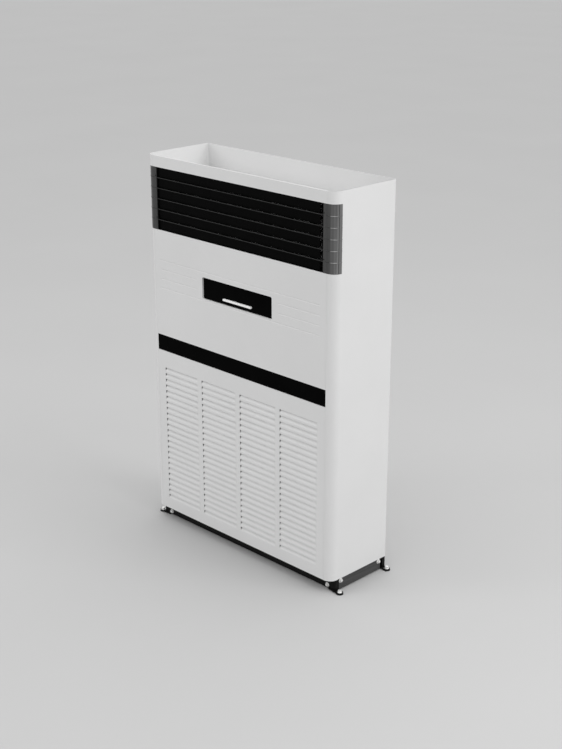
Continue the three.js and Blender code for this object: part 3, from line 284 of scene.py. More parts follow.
def face_from(piece, point):
    """Makes an open sheet's normals agree and look away from a point."""
    outward()
    point = Vector(point)
    if sum((face.center - point).dot(face.normal) * face.area for face in piece.data.polygons) < 0:
        bpy.ops.object.mode_set(mode="EDIT")
        bpy.ops.mesh.select_all(action="SELECT")
        bpy.ops.mesh.flip_normals()
        bpy.ops.object.mode_set(mode="OBJECT")


def modify(piece, kind, **settings):
    """Adds one modifier and applies it."""
    activate(piece)
    modifier = piece.modifiers.new(kind.title(), kind)
    for key, value in settings.items():
        setattr(modifier, key, value)
    bpy.ops.object.modifier_apply(modifier=modifier.name)


def thicken(piece, thickness):
    """Gives a sheet its thickness, on the side that its normals look away from."""
    modify(piece, "SOLIDIFY", thickness=thickness, offset=-1,
           use_even_offset=True, use_quality_normals=True)


def soften(piece, width, segments=2, angle=35):
    modify(piece, "BEVEL", width=width, segments=segments, limit_method="ANGLE",
           angle_limit=math.radians(angle), use_clamp_overlap=True, harden_normals=False)


def repeat(piece, count, step):
    modify(piece, "ARRAY", count=count, use_relative_offset=False, use_constant_offset=True,
           constant_offset_displace=step, use_merge_vertices=True, merge_threshold=0.02 * MM)


def softened(pieces, width):
    for piece in pieces:
        soften(piece, width)
    return pieces


def round_edges(piece, test, radius, segments):
    """Rounds the edges that pass a test."""
    pick(piece, "EDGE", test)
    bpy.ops.mesh.bevel(offset=radius, segments=segments, affect="EDGES")
    bpy.ops.object.mode_set(mode="OBJECT")


def sink(piece, test, border, move):
    """Pushes in the faces that pass a test, within a border."""
    pick(piece, "FACE", test)
    bpy.ops.mesh.inset(thickness=border)
    extrude_faces(move)
    bpy.ops.object.mode_set(mode="OBJECT")


def open_box(name, low, high, test, sheet):
    """A thin-walled box, open where a face passes the test."""
    piece = cube(name, low, high)
    pick(piece, "FACE", test)
    bpy.ops.mesh.delete(type="FACE")
    face_from(piece, (Vector(low) + Vector(high)) / 2)
    thicken(piece, sheet)
    return piece


def rounded_block(name, low, high, radius):
    """A block along Y with its four long edges rounded."""
    piece = cube(name, low, high)
    round_edges(piece, lambda edge: abs(edge.verts[0].co.y - edge.verts[1].co.y) > 0.1 * MM, radius, 12)
    return piece


def folded(name, corners, x0, x1, sheet, bend, inside):
    """A sheet folded along lines that run along X: `corners` is its outer line in (y, z)."""
    (y, z), (y1, z1) = corners[:2]
    piece = plate(name, (x0, y, z), x1 - x0, (y1 - y, z1 - z))
    for (y, z), (next_y, next_z) in zip(corners[1:], corners[2:]):
        pick(piece, "EDGE", edge_at(y=y, z=z))
        extrude_edges((0, next_y - y, next_z - z))
    round_edges(piece, lambda edge: any(edge_at(y=y, z=z)(edge) for y, z in corners[1:-1]), bend, 6)
    face_from(piece, inside)
    thicken(piece, sheet)
    return piece


def carve(piece, tool, operation="DIFFERENCE"):
    """Cuts one piece with another, or joins them, and takes the other away."""
    modify(piece, "BOOLEAN", object=tool, operation=operation, solver="EXACT")
    bpy.data.objects.remove(tool)


def copy_of(piece, name):
    activate(piece)
    bpy.ops.object.duplicate()
    twin = bpy.context.active_object
    twin.name = twin.data.name = name
    return twin


def moved(piece, by):
    activate(piece)
    bpy.ops.transform.translate(value=by)
    settle()
    return piece


def turned(piece, angle, axis):
    activate(piece)
    bpy.ops.object.mode_set(mode="EDIT")
    bpy.ops.mesh.select_all(action="SELECT")
    bpy.ops.transform.rotate(value=-math.radians(angle), orient_axis=axis, orient_type="GLOBAL",
                             center_override=(0, 0, 0))
    bpy.ops.object.mode_set(mode="OBJECT")
    return piece


def twin_across(piece, name):
    """The same piece on the other side of the middle plane."""
    twin = copy_of(piece, name)
    bpy.ops.object.mode_set(mode="EDIT")
    bpy.ops.mesh.select_all(action="SELECT")
    bpy.ops.transform.resize(value=(-1, 1, 1), center_override=(0, 0, 0))
    outward()
    return twin


def joined(pieces, name):
    deselect()
    for piece in pieces:
        piece.select_set(True)
    bpy.context.view_layer.objects.active = pieces[0]
    bpy.ops.object.join()
    result = bpy.context.active_object
    result.name = result.data.name = name
    return result


FINISH = {}


def complete(piece, finish, *replaces, body="cabinet", slot=None):
    """Gives a modelled piece its finish and its body, and hides the model's nodes that it stands for.

    `slot`, the model's slot where its name differs from the finish's, is not used.
    """
    activate(piece)
    bpy.ops.object.shade_smooth_by_angle(angle=math.radians(30))
    modify(piece, "WEIGHTED_NORMAL", mode="FACE_AREA", weight=100, keep_sharp=True)
    piece.data.materials.clear()
    piece.data.materials.append(FINISH[finish])
    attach(piece, body)
    if replaces:
        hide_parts(*replaces)


# ------------------------------------------------------------------------------- finishes

class Recipe:
    """One node material with a principled shader and helpers that add detail to it."""

    def __init__(self, name, roughness=0.5, metallic=0.0, specular=0.5):
        self.material = bpy.data.materials.new(name)
        self.material.use_nodes = True
        self.nodes = self.material.node_tree.nodes
        self.links = self.material.node_tree.links
        self.shader = self.nodes["Principled BSDF"]
        self.shader.inputs["Roughness"].default_value = roughness
        self.shader.inputs["Metallic"].default_value = metallic
        self.shader.inputs["Specular IOR Level"].default_value = specular
        self.place = self.nodes.new("ShaderNodeTexCoord").outputs["Object"]

    def stretched(self, scale):
        mapping = self.nodes.new("ShaderNodeMapping")
        mapping.inputs["Scale"].default_value = scale
        self.links.new(self.place, mapping.inputs["Vector"])
        return mapping.outputs["Vector"]

    def noise(self, scale, detail=2.0, vector=None):
        node = self.nodes.new("ShaderNodeTexNoise")
        node.inputs["Scale"].default_value = scale
        node.inputs["Detail"].default_value = detail
        self.links.new(vector or self.place, node.inputs["Vector"])
        return node.outputs["Fac"]

    def cells(self, scale):
        node = self.nodes.new("ShaderNodeTexVoronoi")
        node.inputs["Scale"].default_value = scale
        self.links.new(self.place, node.inputs["Vector"])
        split = self.nodes.new("ShaderNodeSeparateColor")
        self.links.new(node.outputs["Color"], split.inputs["Color"])
        return split.outputs["Red"]

    def ranged(self, value, low, high, start=0.3, end=0.7):
        node = self.nodes.new("ShaderNodeMapRange")
        node.inputs["From Min"].default_value = start
        node.inputs["From Max"].default_value = end
        node.inputs["To Min"].default_value = low
        node.inputs["To Max"].default_value = high
        self.links.new(value, node.inputs["Value"])
        return node.outputs["Result"]

    def product(self, first, second):
        node = self.nodes.new("ShaderNodeMath")
        node.operation = "MULTIPLY"
        self.links.new(first, node.inputs[0])
        self.links.new(second, node.inputs[1])
        return node.outputs["Value"]

    def sideways(self):
        """Distance from the middle plane."""
        split = self.nodes.new("ShaderNodeSeparateXYZ")
        self.links.new(self.place, split.inputs["Vector"])
        size = self.nodes.new("ShaderNodeMath")
        size.operation = "ABSOLUTE"
        self.links.new(split.outputs["X"], size.inputs[0])
        return size.outputs["Value"]

    def colour(self, base, factor):
        """Base colour times a factor that varies over the surface."""
        node = self.nodes.new("ShaderNodeVectorMath")
        node.operation = "SCALE"
        node.inputs[0].default_value = base
        self.links.new(factor, node.inputs["Scale"])
        self.links.new(node.outputs["Vector"], self.shader.inputs["Base Color"])

    def roughness(self, value):
        self.links.new(value, self.shader.inputs["Roughness"])

    def bump(self, height, distance, strength=1.0):
        node = self.nodes.new("ShaderNodeBump")
        node.inputs["Strength"].default_value = strength
        node.inputs["Distance"].default_value = distance
        self.links.new(height, node.inputs["Height"])
        if self.shader.inputs["Normal"].is_linked:
            self.links.new(self.shader.inputs["Normal"].links[0].from_socket, node.inputs["Normal"])
        self.links.new(node.outputs["Normal"], self.shader.inputs["Normal"])


def powder_coat(colour, roughness):
    """Fine-grained white coat: faint orange peel, slight change of tone and gloss."""
    recipe = Recipe("powder_coat", roughness)
    recipe.colour(colour, recipe.ranged(recipe.noise(3.5, 4), 0.985, 1.012))
    recipe.roughness(recipe.ranged(recipe.noise(26, 3), roughness - 0.05, roughness + 0.06))
    recipe.bump(recipe.noise(520, 2), 0.00006, 0.35)
    return recipe.material


def polished_black(colour):
    """Glossy black with faint wiping marks."""
    recipe = Recipe("polished_black", 0.2, specular=0.008)
    recipe.colour(colour, recipe.ranged(recipe.noise(8, 3), 0.8, 1.2))
    streaks = recipe.noise(14, 3, recipe.stretched((0.4, 1.0, 3.0)))
    recipe.roughness(recipe.ranged(streaks, 0.14, 0.26))
    return recipe.material


def moulded(name, colour, roughness, specular=0.4, tone=0.12):
    """Moulded plastic with a fine eroded grain."""
    recipe = Recipe(name, roughness, specular=specular)
    recipe.colour(colour, recipe.ranged(recipe.noise(18, 4), 1 - tone, 1 + tone))
    recipe.roughness(recipe.ranged(recipe.noise(60, 3), roughness - 0.05, roughness + 0.05))
    recipe.bump(recipe.noise(900, 2), 0.00004, 0.5)
    return recipe.material


def smoke_plastic(name, colour, highlight_gain, start, end, highlight_fade=1.0, gloss=0.34):
    """Dark grey plastic with upright drawing lines, and a painted highlight where it rounds the corner.

    Its tone goes up to the highlight gain between the distances `start` and `end` from the middle plane,
    a painted highlight, and is multiplied by the highlight fade where the surface has turned to the side.
    """
    recipe = Recipe(name, gloss, specular=0.5)
    lines = recipe.noise(95, 3, recipe.stretched((1.0, 1.0, 0.02)))
    across = recipe.sideways()
    # Painted highlight: the colour is made lighter round the corner to stand for the light the corner
    # catches.
    painted_corner_highlight = recipe.product(recipe.ranged(across, 1.0, highlight_gain, start, end),
                                  recipe.ranged(across, 1.0, highlight_fade, 0.592, 0.597))
    recipe.colour(colour, recipe.product(recipe.ranged(lines, 0.68, 1.32), painted_corner_highlight))
    recipe.roughness(recipe.ranged(recipe.noise(70, 2), gloss - 0.06, gloss + 0.06))
    recipe.bump(lines, 0.00005, 0.3)
    return recipe.material


def zinc_sheet():
    """Zinc-coated sheet with its spangle."""
    recipe = Recipe("zinc_sheet", 0.4, metallic=1.0)
    spangle = recipe.cells(70)
    recipe.colour((0.52, 0.53, 0.54), recipe.ranged(spangle, 0.86, 1.1, 0, 1))
    recipe.roughness(recipe.ranged(spangle, 0.32, 0.5, 0, 1))
    recipe.bump(recipe.noise(240, 2), 0.00004, 0.3)
    return recipe.material


def bright_steel(colour):
    """Zinc-plated bolts with fine turning marks."""
    recipe = Recipe("bright_steel", 0.3, metallic=0.65)
    recipe.colour(colour, recipe.ranged(recipe.noise(120, 3), 0.9, 1.08))
    recipe.roughness(recipe.ranged(recipe.noise(400, 3), 0.22, 0.38))
    recipe.bump(recipe.noise(1200, 2), 0.00002, 0.4)
    return recipe.material


def fin_aluminium():
    """Thin rolled aluminium, a little uneven."""
    recipe = Recipe("fin_aluminium", 0.38, metallic=1.0)
    recipe.colour((0.62, 0.64, 0.66), recipe.ranged(recipe.noise(30, 4), 0.88, 1.08))
    recipe.roughness(recipe.ranged(recipe.noise(90, 2), 0.3, 0.48))
    recipe.bump(recipe.noise(300, 2, recipe.stretched((8.0, 1.0, 1.0))), 0.00005, 0.4)
    return recipe.material


def moulded_rubber():
    """Matt black rubber with a coarse grain."""
    recipe = Recipe("moulded_rubber", 0.85, specular=0.3)
    recipe.colour((0.012, 0.012, 0.012), recipe.ranged(recipe.noise(150, 4), 0.75, 1.4))
    recipe.roughness(recipe.ranged(recipe.noise(80, 2), 0.75, 0.92))
    recipe.bump(recipe.noise(700, 3), 0.00012, 0.5)
    return recipe.material


def dark_coat(name, colour, specular=0.4):
    """Dark paint of the plinth, rougher than the cabinet's."""
    recipe = Recipe(name, 0.45, specular=specular)
    drawn = recipe.noise(110, 3, recipe.stretched((1.0, 0.03, 1.0)))
    recipe.colour(colour, recipe.ranged(drawn, 0.7, 1.3))
    recipe.roughness(recipe.ranged(recipe.noise(45, 3), 0.38, 0.55))
    recipe.bump(recipe.noise(420, 3), 0.00009, 0.5)
    return recipe.material


def woven_net():
    """Grey net: dark meshes between fine upright and level threads."""
    recipe = Recipe("woven_net", 0.7, specular=0.3)
    threads = None
    for direction in ("X", "Z"):
        wave = recipe.nodes.new("ShaderNodeTexWave")
        wave.bands_direction = direction
        wave.inputs["Scale"].default_value = 160
        recipe.links.new(recipe.place, wave.inputs["Vector"])
        if threads:
            mix = recipe.nodes.new("ShaderNodeMath")
            mix.operation = "MAXIMUM"
            recipe.links.new(threads, mix.inputs[0])
            recipe.links.new(wave.outputs["Fac"], mix.inputs[1])
            threads = mix.outputs["Value"]
        else:
            threads = wave.outputs["Fac"]
    recipe.colour((0.16, 0.17, 0.18), recipe.ranged(threads, 0.2, 1.1, 0.4, 0.9))
    recipe.roughness(recipe.ranged(recipe.noise(50, 2), 0.6, 0.8))
    recipe.bump(threads, 0.0003, 0.6)
    return recipe.material


class AIRCON_OT_finishes(Operator):
    """Mix the finishes and give every node of the model its own"""

    bl_idname = "aircon.finishes"
    bl_label = "Finishes"

    def execute(self, context):
        looks = context.scene.aircon_finishes
        FINISH.update({
            "white_paint": powder_coat(looks.white, looks.white_gloss),
            "white_plastic": moulded("white_plastic", (0.93, 0.93, 0.93), 0.32, tone=0.02),
            "dark_paint": dark_coat("dark_coat", looks.plinth),
            "black_gloss": polished_black(looks.black),
            "black_plastic": moulded("black_plastic", looks.black, 0.42, specular=0.02),
            "bar_plastic": moulded("bar_plastic", looks.bar, 0.35, specular=0.25),
            # The cheeks and their ridges carry a painted highlight: lighter colour where they round the
            # corner, standing for the light they catch.
            "dark_plastic": smoke_plastic("smoke_plastic", looks.smoke, 4.4, 0.558, 0.600),
            "ridge_plastic": smoke_plastic("ridge_plastic", looks.smoke, 12.0, 0.566, 0.583, 0.4, 0.25),
            "gear_plastic": moulded("gear_plastic", (0.03, 0.03, 0.03), 0.5, specular=0.2),
            # The beams' finish is the plinth paint darkened as painted shade.
            "beam_painted_shade": dark_coat("beam_coat", looks.beam, 0.1),
            "zinc_steel": zinc_sheet(),
            "bright_steel": bright_steel(looks.steel),
            "foot_rubber": moulded_rubber(),
            "fin_aluminium": fin_aluminium(),
            "filter_mesh": moulded("filter_plastic", (0.12, 0.125, 0.13), 0.6),
            "filter_net": woven_net(),
        })
        for row in frame["record"]["subparts"]:
            node = frame["nodes"][row["node"]]
            for place in node.material_slots:
                place.material = FINISH[row["material_slot"]]
        return {"FINISHED"}


# --------------------------------------------------------------------------------- casing

def corner_sheet(name, start, low, high, front, radius, steps=18):
    """A sheet face from `start` along the front and round the right front corner."""
    centre_x = HALF_WIDTH - CORNER
    piece = plate(name, (start, front, low), centre_x - start, (0, high - low))
    pick(piece, "EDGE", edge_at(x=centre_x))
    bpy.ops.mesh.spin(steps=steps, angle=math.radians(-90), axis=(0, 0, 1),
                      center=(centre_x, front + radius, 0))
    return piece


def pair(piece, name, finish, node, body="cabinet", slot=None):
    """Completes a right-hand piece and its left-hand twin."""
    twin = twin_across(piece, name.format("left"))
    piece.name = piece.data.name = name.format("right")
    complete(piece, finish, node.format("right"), body=body, slot=slot)
    complete(twin, finish, node.format("left"), body=body, slot=slot)


class AIRCON_OT_casing_sides(Operator):
    """Bend the two casing sides, each with its rounded corners, front lip and outlet notch"""

    bl_idname = "aircon.casing_sides"
    bl_label = "Casing sides"

    def execute(self, context):
        shape = context.scene.aircon_shape
        seam = CASING_LOW.x
        low, high = CASING_LOW.z, CASING_HIGH.z
        notch_low, notch_high = CHEEK_LOW.z - GAP, CHEEK_HIGH.z + GAP
        notch_end = FRONT + CORNER + 0.6 * MM
        rear = shape.rear_radius
        side = corner_sheet("casing_side", seam, low, high, FRONT, CORNER, 20)
        pick(side, "EDGE", edge_at(x=HALF_WIDTH))
        extrude_edges((0, BACK - rear - FRONT - CORNER, 0))
        bpy.ops.mesh.spin(steps=8, angle=math.radians(-90), axis=(0, 0, 1),
                          center=(HALF_WIDTH - rear, BACK - rear, 0))
        extrude_edges((-20 * MM, 0, 0))
        pick(side, "EDGE", edge_at(x=seam, y=FRONT))
        extrude_edges((0, 17 * MM, 0))
        for z in (notch_low, notch_high):
            slice_at((0, 0, z), (0, 0, 1))
        slice_at((0, notch_end, 0), (0, 1, 0))

        def unwanted(face):
            place = middle(face)
            in_notch = notch_low < place.z < notch_high and place.y < notch_end
            lip_above = place.z > notch_high and near(place.x, seam) and place.y > FRONT + 0.1 * MM
            return in_notch or lip_above

        pick(side, "FACE", unwanted)
        bpy.ops.mesh.delete(type="FACE")
        face_from(side, (0, 0, 1))
        thicken(side, shape.sheet)
        soften(side, shape.edge)
        pair(side, "casing_side_{}", "white_paint", "{}_side_panel")
        return {"FINISHED"}


class AIRCON_OT_rear_sheet(Operator):
    """Cut the rear sheet with its round pipe hole and two stiffening grooves"""

    bl_idname = "aircon.rear_sheet"
    bl_label = "Rear sheet"

    def execute(self, context):
        low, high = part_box("rear_panel")
        sheet = cube("rear_sheet", low, high)
        hole = turned(disc("pipe_hole", 35 * MM, 20 * MM, 64), 90, "X")
        moved(hole, (-470 * MM, BACK, PLINTH_TOP + 110 * MM))
        carve(sheet, hole)
        for x in (-180 * MM, 180 * MM):
            groove = cube("stiffening_groove", (x - 4 * MM, BACK - 0.4 * MM, low.z + 60 * MM),
                          (x + 4 * MM, BACK + MM, high.z - 60 * MM))
            soften(groove, 0.4 * MM)
            carve(sheet, groove)
        soften(sheet, 0.3 * MM)
        complete(sheet, "white_paint", "rear_panel")
        return {"FINISHED"}


class AIRCON_OT_top(Operator):
    """Fold the band above the outlet and the sunken top cover"""

    bl_idname = "aircon.top"
    bl_label = "Top band and cover"

    def execute(self, context):
        low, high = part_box("top_band")
        band = folded("top_band_strip", [(high.y, high.z), (low.y, high.z), (low.y, low.z)], low.x, high.x,
                      1.5 * MM, 1.6 * MM, (0, high.y, low.z))
        soften(band, 0.3 * MM)
        complete(band, "white_paint", "top_band")

        low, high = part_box("top_cover")
        ledge = FRAME_HIGH.z + 4.6 * MM
        fall = high.z - 134 * MM
        corners = [(low.y, high.z), (low.y, ledge), (FRONT + 94 * MM, ledge),
                   (high.y, fall), (high.y, fall + 30 * MM)]
        cover = folded("sunken_top", corners, low.x, high.x, 1.2 * MM, 6 * MM, (0, 0, 3))
        inset = 1.8 * MM
        inside = cube("casing_inside", (low.x, FRONT + inset, low.z - 0.05),
                      (high.x, BACK - inset, high.z + 0.05))
        round_edges(inside, lambda edge: edge_at(y=FRONT + inset)(edge) and upright(edge),
                    CORNER - inset, 16)
        carve(cover, inside, "INTERSECT")
        soften(cover, 0.3 * MM)
        complete(cover, "white_paint", "top_cover")
        return {"FINISHED"}


# ----------------------------------------------------------------------------- front panels

class AIRCON_OT_upper_panel(Operator):
    """Press the upper front panel: a tray with a sunken display opening and four shallow lines"""

    bl_idname = "aircon.upper_panel"
    bl_label = "Upper front panel"

    def execute(self, context):
        low, high = PANEL_LOW, PANEL_HIGH
        skin = 2.5 * MM
        panel = cube("upper_front", low, high)
        sink(panel, lambda face: face.normal.y > 0.9, skin, (0, low.y + skin - high.y, 0))
        opening_low = Vector((-DISPLAY_HALF, FRONT, DISPLAY_LOW))
        opening_high = Vector((DISPLAY_HALF, FRONT + 9 * MM, DISPLAY_HIGH))
        collar = Vector((3 * MM, 0, 3 * MM))
        surround = rounded_block("display_surround", opening_low - collar + Vector((0, MM, 0)),
                                 opening_high + collar, 11 * MM)
        carve(panel, surround, "UNION")
        opening = rounded_block("display_opening", opening_low - Vector((0, 5 * MM, 0)),
                                opening_high + Vector((0, 20 * MM, 0)), 8 * MM)
        carve(panel, opening)
        line_top, pitch = 1354.5 * MM, 45.33 * MM
        for row in range(4):
            runs = [(-518, 518)] if row in (0, 3) else [(-518, -268), (268, 518)]
            for start, end in runs:
                line = disc("pressed_line", 4 * MM, (end - start) * MM, 96)
                turned(line, 90, "Y")
                moved(line, ((start + end) / 2 * MM, FRONT - 2.8 * MM, line_top - row * pitch))
                carve(panel, line)
        soften(panel, 0.7 * MM, 3, 24)
        complete(panel, "white_paint", "upper_front_panel")
        return {"FINISHED"}


class AIRCON_OT_divider(Operator):
    """Shape the polished black strip between the two front panels"""

    bl_idname = "aircon.divider"
    bl_label = "Divider strip"

    def execute(self, context):
        low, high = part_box("divider_strip")
        strip = folded("black_divider", [(high.y, high.z), (low.y, high.z), (low.y, low.z), (high.y, low.z)],
                       low.x, high.x, 2.5 * MM, 2.6 * MM, (0, high.y, (low.z + high.z) / 2))
        soften(strip, 0.4 * MM)
        complete(strip, "black_gloss", "divider_strip")
        return {"FINISHED"}


class AIRCON_OT_intake_door(Operator):
    """Press the intake door: one louvred cell repeated over the grid, then borders, folds and guides"""

    bl_idname = "aircon.intake_door"
    bl_label = "Intake door"

    def execute(self, context):
        shape = context.scene.aircon_shape
        left = -shape.columns / 2 * shape.column_pitch
        bottom = shape.lowest_slot - (shape.row_pitch - shape.slot_height) / 2
        slot_left = left + (shape.column_pitch - shape.slot_width) / 2
        slot_right = slot_left + shape.slot_width
        door = plate("intake_door", (left, FRONT, bottom), shape.column_pitch, (0, shape.row_pitch))
        activate(door)
        bpy.ops.object.mode_set(mode="EDIT")
        for x in (slot_left, slot_right):
            slice_at((x, 0, 0), (1, 0, 0))
        for z in (shape.lowest_slot, shape.lowest_slot + shape.slot_height):
            slice_at((0, 0, z), (0, 0, 1))

        def in_slot(item):
            place = middle(item)
            rise = place.z - shape.lowest_slot + 0.1 * MM
            return slot_left < place.x < slot_right and 0 < rise < shape.slot_height

        pick(door, "FACE", in_slot)
        bpy.ops.mesh.delete(type="FACE")
        pick(door, "EDGE", lambda edge: in_slot(edge) and edge_at(z=shape.lowest_slot)(edge))
        # Shares of the flap's depth and height, from its foot upwards.
        flap = [(0.07, 0.13), (0.2, 0.2), (0.25, 0.22), (0.25, 0.22), (0.23, 0.23)]
        for inwards, upwards in flap:
            extrude_edges((0, inwards * shape.flap_depth, upwards * (shape.slot_height - 2 * MM)))
        repeat(door, shape.columns, (shape.column_pitch, 0, 0))
        repeat(door, shape.rows, (0, 0, shape.row_pitch))
        edge = PANEL_HIGH.x
        low, high = PLINTH_TOP + GAP, DOOR_HIGH.z
        top = bottom + shape.rows * shape.row_pitch
        pick(door, "EDGE", edge_at(x=left))
        extrude_edges((-edge - left, 0, 0))
        pick(door, "EDGE", edge_at(x=-left))
        extrude_edges((edge + left, 0, 0))
        pick(door, "EDGE", edge_at(z=bottom))
        extrude_edges((0, 0, low - bottom))
        pick(door, "EDGE", edge_at(z=top))
        extrude_edges((0, 0, high - top))
        pick(door, "EDGE", lambda item: any(edge_at(**{axis: place})(item) for axis, place in
                                            (("x", -edge), ("x", edge), ("z", low), ("z", high))))
        extrude_edges((0, 12 * MM, 0))
        face_from(door, (0, 0.5, (low + high) / 2))
        thicken(door, shape.sheet)
        soften(door, 0.5 * MM)
        guides = []
        guide_low, guide_high, guide_back = 84 * MM, high - 10 * MM, FRONT + 24.5 * MM
        for x, lip_left, lip_right in ((0, 9, 9), (edge - 5 * MM, 8, 0.9), (5 * MM - edge, 0.9, 8)):
            guides.append(cube("stem", (x - MM, FRONT + MM, guide_low), (x + MM, guide_back, guide_high)))
            guides.append(cube("lip", (x - lip_left * MM, guide_back - 1.5 * MM, guide_low),
                               (x + lip_right * MM, guide_back, guide_high)))
        guides.append(cube("sill", (10 * MM - edge, FRONT + MM, 82 * MM),
                           (edge - 10 * MM, guide_back, 85 * MM)))
        for end in (-1, 1):
            pin = turned(disc("hinge_pin", 3 * MM, 6.2 * MM, 32), 90, "Y")
            guides.append(moved(pin, (end * (edge + 1.9 * MM), FRONT + 8 * MM, 74 * MM)))
        complete(joined([door, *softened(guides, 0.3 * MM)], "intake_door"), "white_paint", "intake_panel",
                 body="intake_door")
        return {"FINISHED"}


class AIRCON_OT_display(Operator):
    """Make the display pane and its one wide key"""

    bl_idname = "aircon.display"
    bl_label = "Display and key"

    def execute(self, context):
        low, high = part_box("display_window")
        pane = rounded_block("display_pane", low, high, 10 * MM)
        key_low, key_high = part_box("key_bar")
        key_middle = (key_low + key_high) / 2
        half = Vector((93 * MM, 0, 5 * MM))
        play = Vector((0.4 * MM, 0.05, 0.4 * MM))
        carve(pane, rounded_block("key_hole", key_middle - half - play, key_middle + half + play, 5.3 * MM))
        soften(pane, 0.3 * MM)
        complete(pane, "black_gloss", "display_window")

        key = rounded_block("wide_key", Vector((-half.x, key_low.y, key_middle.z - half.z)),
                            Vector((half.x, key_high.y, key_middle.z + half.z)), 4.95 * MM)
        round_edges(key, edge_at(y=key_low.y), 2.2 * MM, 6)
        flange_low = Vector((key_low.x, key_high.y - 2 * MM, key_low.z))
        flange = rounded_block("key_flange", flange_low, key_high, 7.8 * MM)
        complete(joined([key, flange], "wide_key"), "white_plastic", "key_bar", body="key")
        return {"FINISHED"}


# ---------------------------------------------------------------------------------- outlet

class AIRCON_OT_cheeks(Operator):
    """Wrap the dark cheeks round the corners, with a rim groove, five ridges and two screws each"""

    bl_idname = "aircon.cheeks"
    bl_label = "Outlet cheeks"

    def execute(self, context):
        start = CHEEK_LOW.x
        low, high = CHEEK_LOW.z, CHEEK_HIGH.z
        wrap = corner_sheet("outlet_cheek", start, low, high, FRONT, CORNER, 28)
        pick(wrap, "EDGE", edge_at(x=start))
        extrude_edges((0, 13 * MM, 0))
        face_from(wrap, (0, 0, (low + high) / 2))
        thicken(wrap, 3 * MM)
        soften(wrap, 0.5 * MM)
        tongue = cube("tongue", (HALF_WIDTH - 4.2 * MM, FRONT + 38 * MM, low + 6 * MM),
                      (HALF_WIDTH - 1.8 * MM, FRONT + 58 * MM, high - 6 * MM))
        soften(tongue, 0.5 * MM)
        cheek = joined([wrap, tongue], "outlet_cheek")
        groove = cube("rim_groove", (-1.6 * MM, -1.3 * MM, low - 0.01), (1.6 * MM, 3 * MM, high + 0.01))
        lean = 68
        turned(groove, lean, "Z")
        groove_x = HALF_WIDTH - CORNER + CORNER * math.sin(math.radians(lean))
        groove_y = FRONT + CORNER - CORNER * math.cos(math.radians(lean))
        carve(cheek, moved(groove, (groove_x, groove_y, 0)))
        # The cheeks' finish has a painted highlight where they round the corner.
        pair(cheek, "outlet_cheek_{}", "dark_plastic", "{}_outlet_cheek")
        ridges = []
        half, height = 1.3 * MM, 2 * MM
        for z in BARS:
            ridge = corner_sheet("ridge", start, z - half, z + half, FRONT - height, CORNER + height, 28)
            face_from(ridge, (0, 0, z))
            thicken(ridge, 1.9 * MM)
            soften(ridge, 0.6 * MM, 3)
            ridges.append(ridge)
        # The ridges' finish has a painted highlight where they round the corner.
        pair(joined(ridges, "cheek_ridges"), "cheek_ridges_{}", "ridge_plastic", "{}_outlet_cheek",
             slot="dark_plastic")
        for row in (0, 4):
            for side in (-1, 1):
                screw = turned(disc("cheek_screw", 2.2 * MM, 1.2 * MM, 24), 90, "X")
                sink(screw, lambda face: face.normal.y < -0.9, 0.9 * MM, (0, 0.5 * MM, 0))
                moved(screw, (side * (start + 5 * MM), FRONT - 0.3 * MM, BARS[row] + 9 * MM))
                complete(screw, "black_plastic")
                screw.name = f"cheek_screw_{row}_{'right' if side > 0 else 'left'}"
        return {"FINISHED"}


class AIRCON_OT_outlet_frame(Operator):
    """Make the black duct of the outlet and its five slim cross bars"""

    bl_idname = "aircon.outlet_frame"
    bl_label = "Outlet frame"

    def execute(self, context):
        half = DUCT_HALF
        front, back = FRONT + 3 * MM, FRAME_HIGH.y
        duct = open_box("outlet_duct", (-half, front, FRAME_LOW.z), (half, back, FRAME_HIGH.z),
                        lambda face: abs(face.normal.y) > 0.9, DUCT_WALL)
        holes = []
        for z in BLADE_AXES:
            holes.append(moved(turned(disc("pivot_hole", 3.6 * MM, 2 * half + 0.02, 20), 90, "Y"),
                               (0, BLADE_Y, z)))
        for x in VANE_AXES:
            holes.append(moved(disc("vane_hole", 3.6 * MM, 0.4, 20), (x, VANE_Y, BARS[2])))
        holes.append(moved(turned(disc("crank_hole", 3.2 * MM, 0.02, 20), 90, "Y"),
                           (half, DRIVE_Y, BARS[2])))
        carve(duct, joined(holes, "pivot_holes"))
        soften(duct, 0.4 * MM)
        complete(duct, "black_plastic", "outlet_frame")
        bar = cube("outlet_bar", (FRAME_LOW.x, FRAME_LOW.y, BARS[0] - 1.3 * MM),
                   (FRAME_HIGH.x, FRONT + 3.6 * MM, BARS[0] + 1.3 * MM))
        round_edges(bar, lambda edge: edge_at(y=FRAME_LOW.y)(edge) and not upright(edge), 0.9 * MM, 4)
        bars = [bar]
        for row in range(1, 5):
            bars.append(moved(copy_of(bar, f"outlet_bar_{row}"), (0, 0, BARS[row] - BARS[0])))
        for row, bar in enumerate(bars):
            # The bars are black plastic in the model; their lighter grey finish is painted sheen.
            complete(bar, "bar_plastic", "outlet_frame", slot="black_plastic")
            bar.name = bar.data.name = f"outlet_bar_{row + 1}"
        return {"FINISHED"}


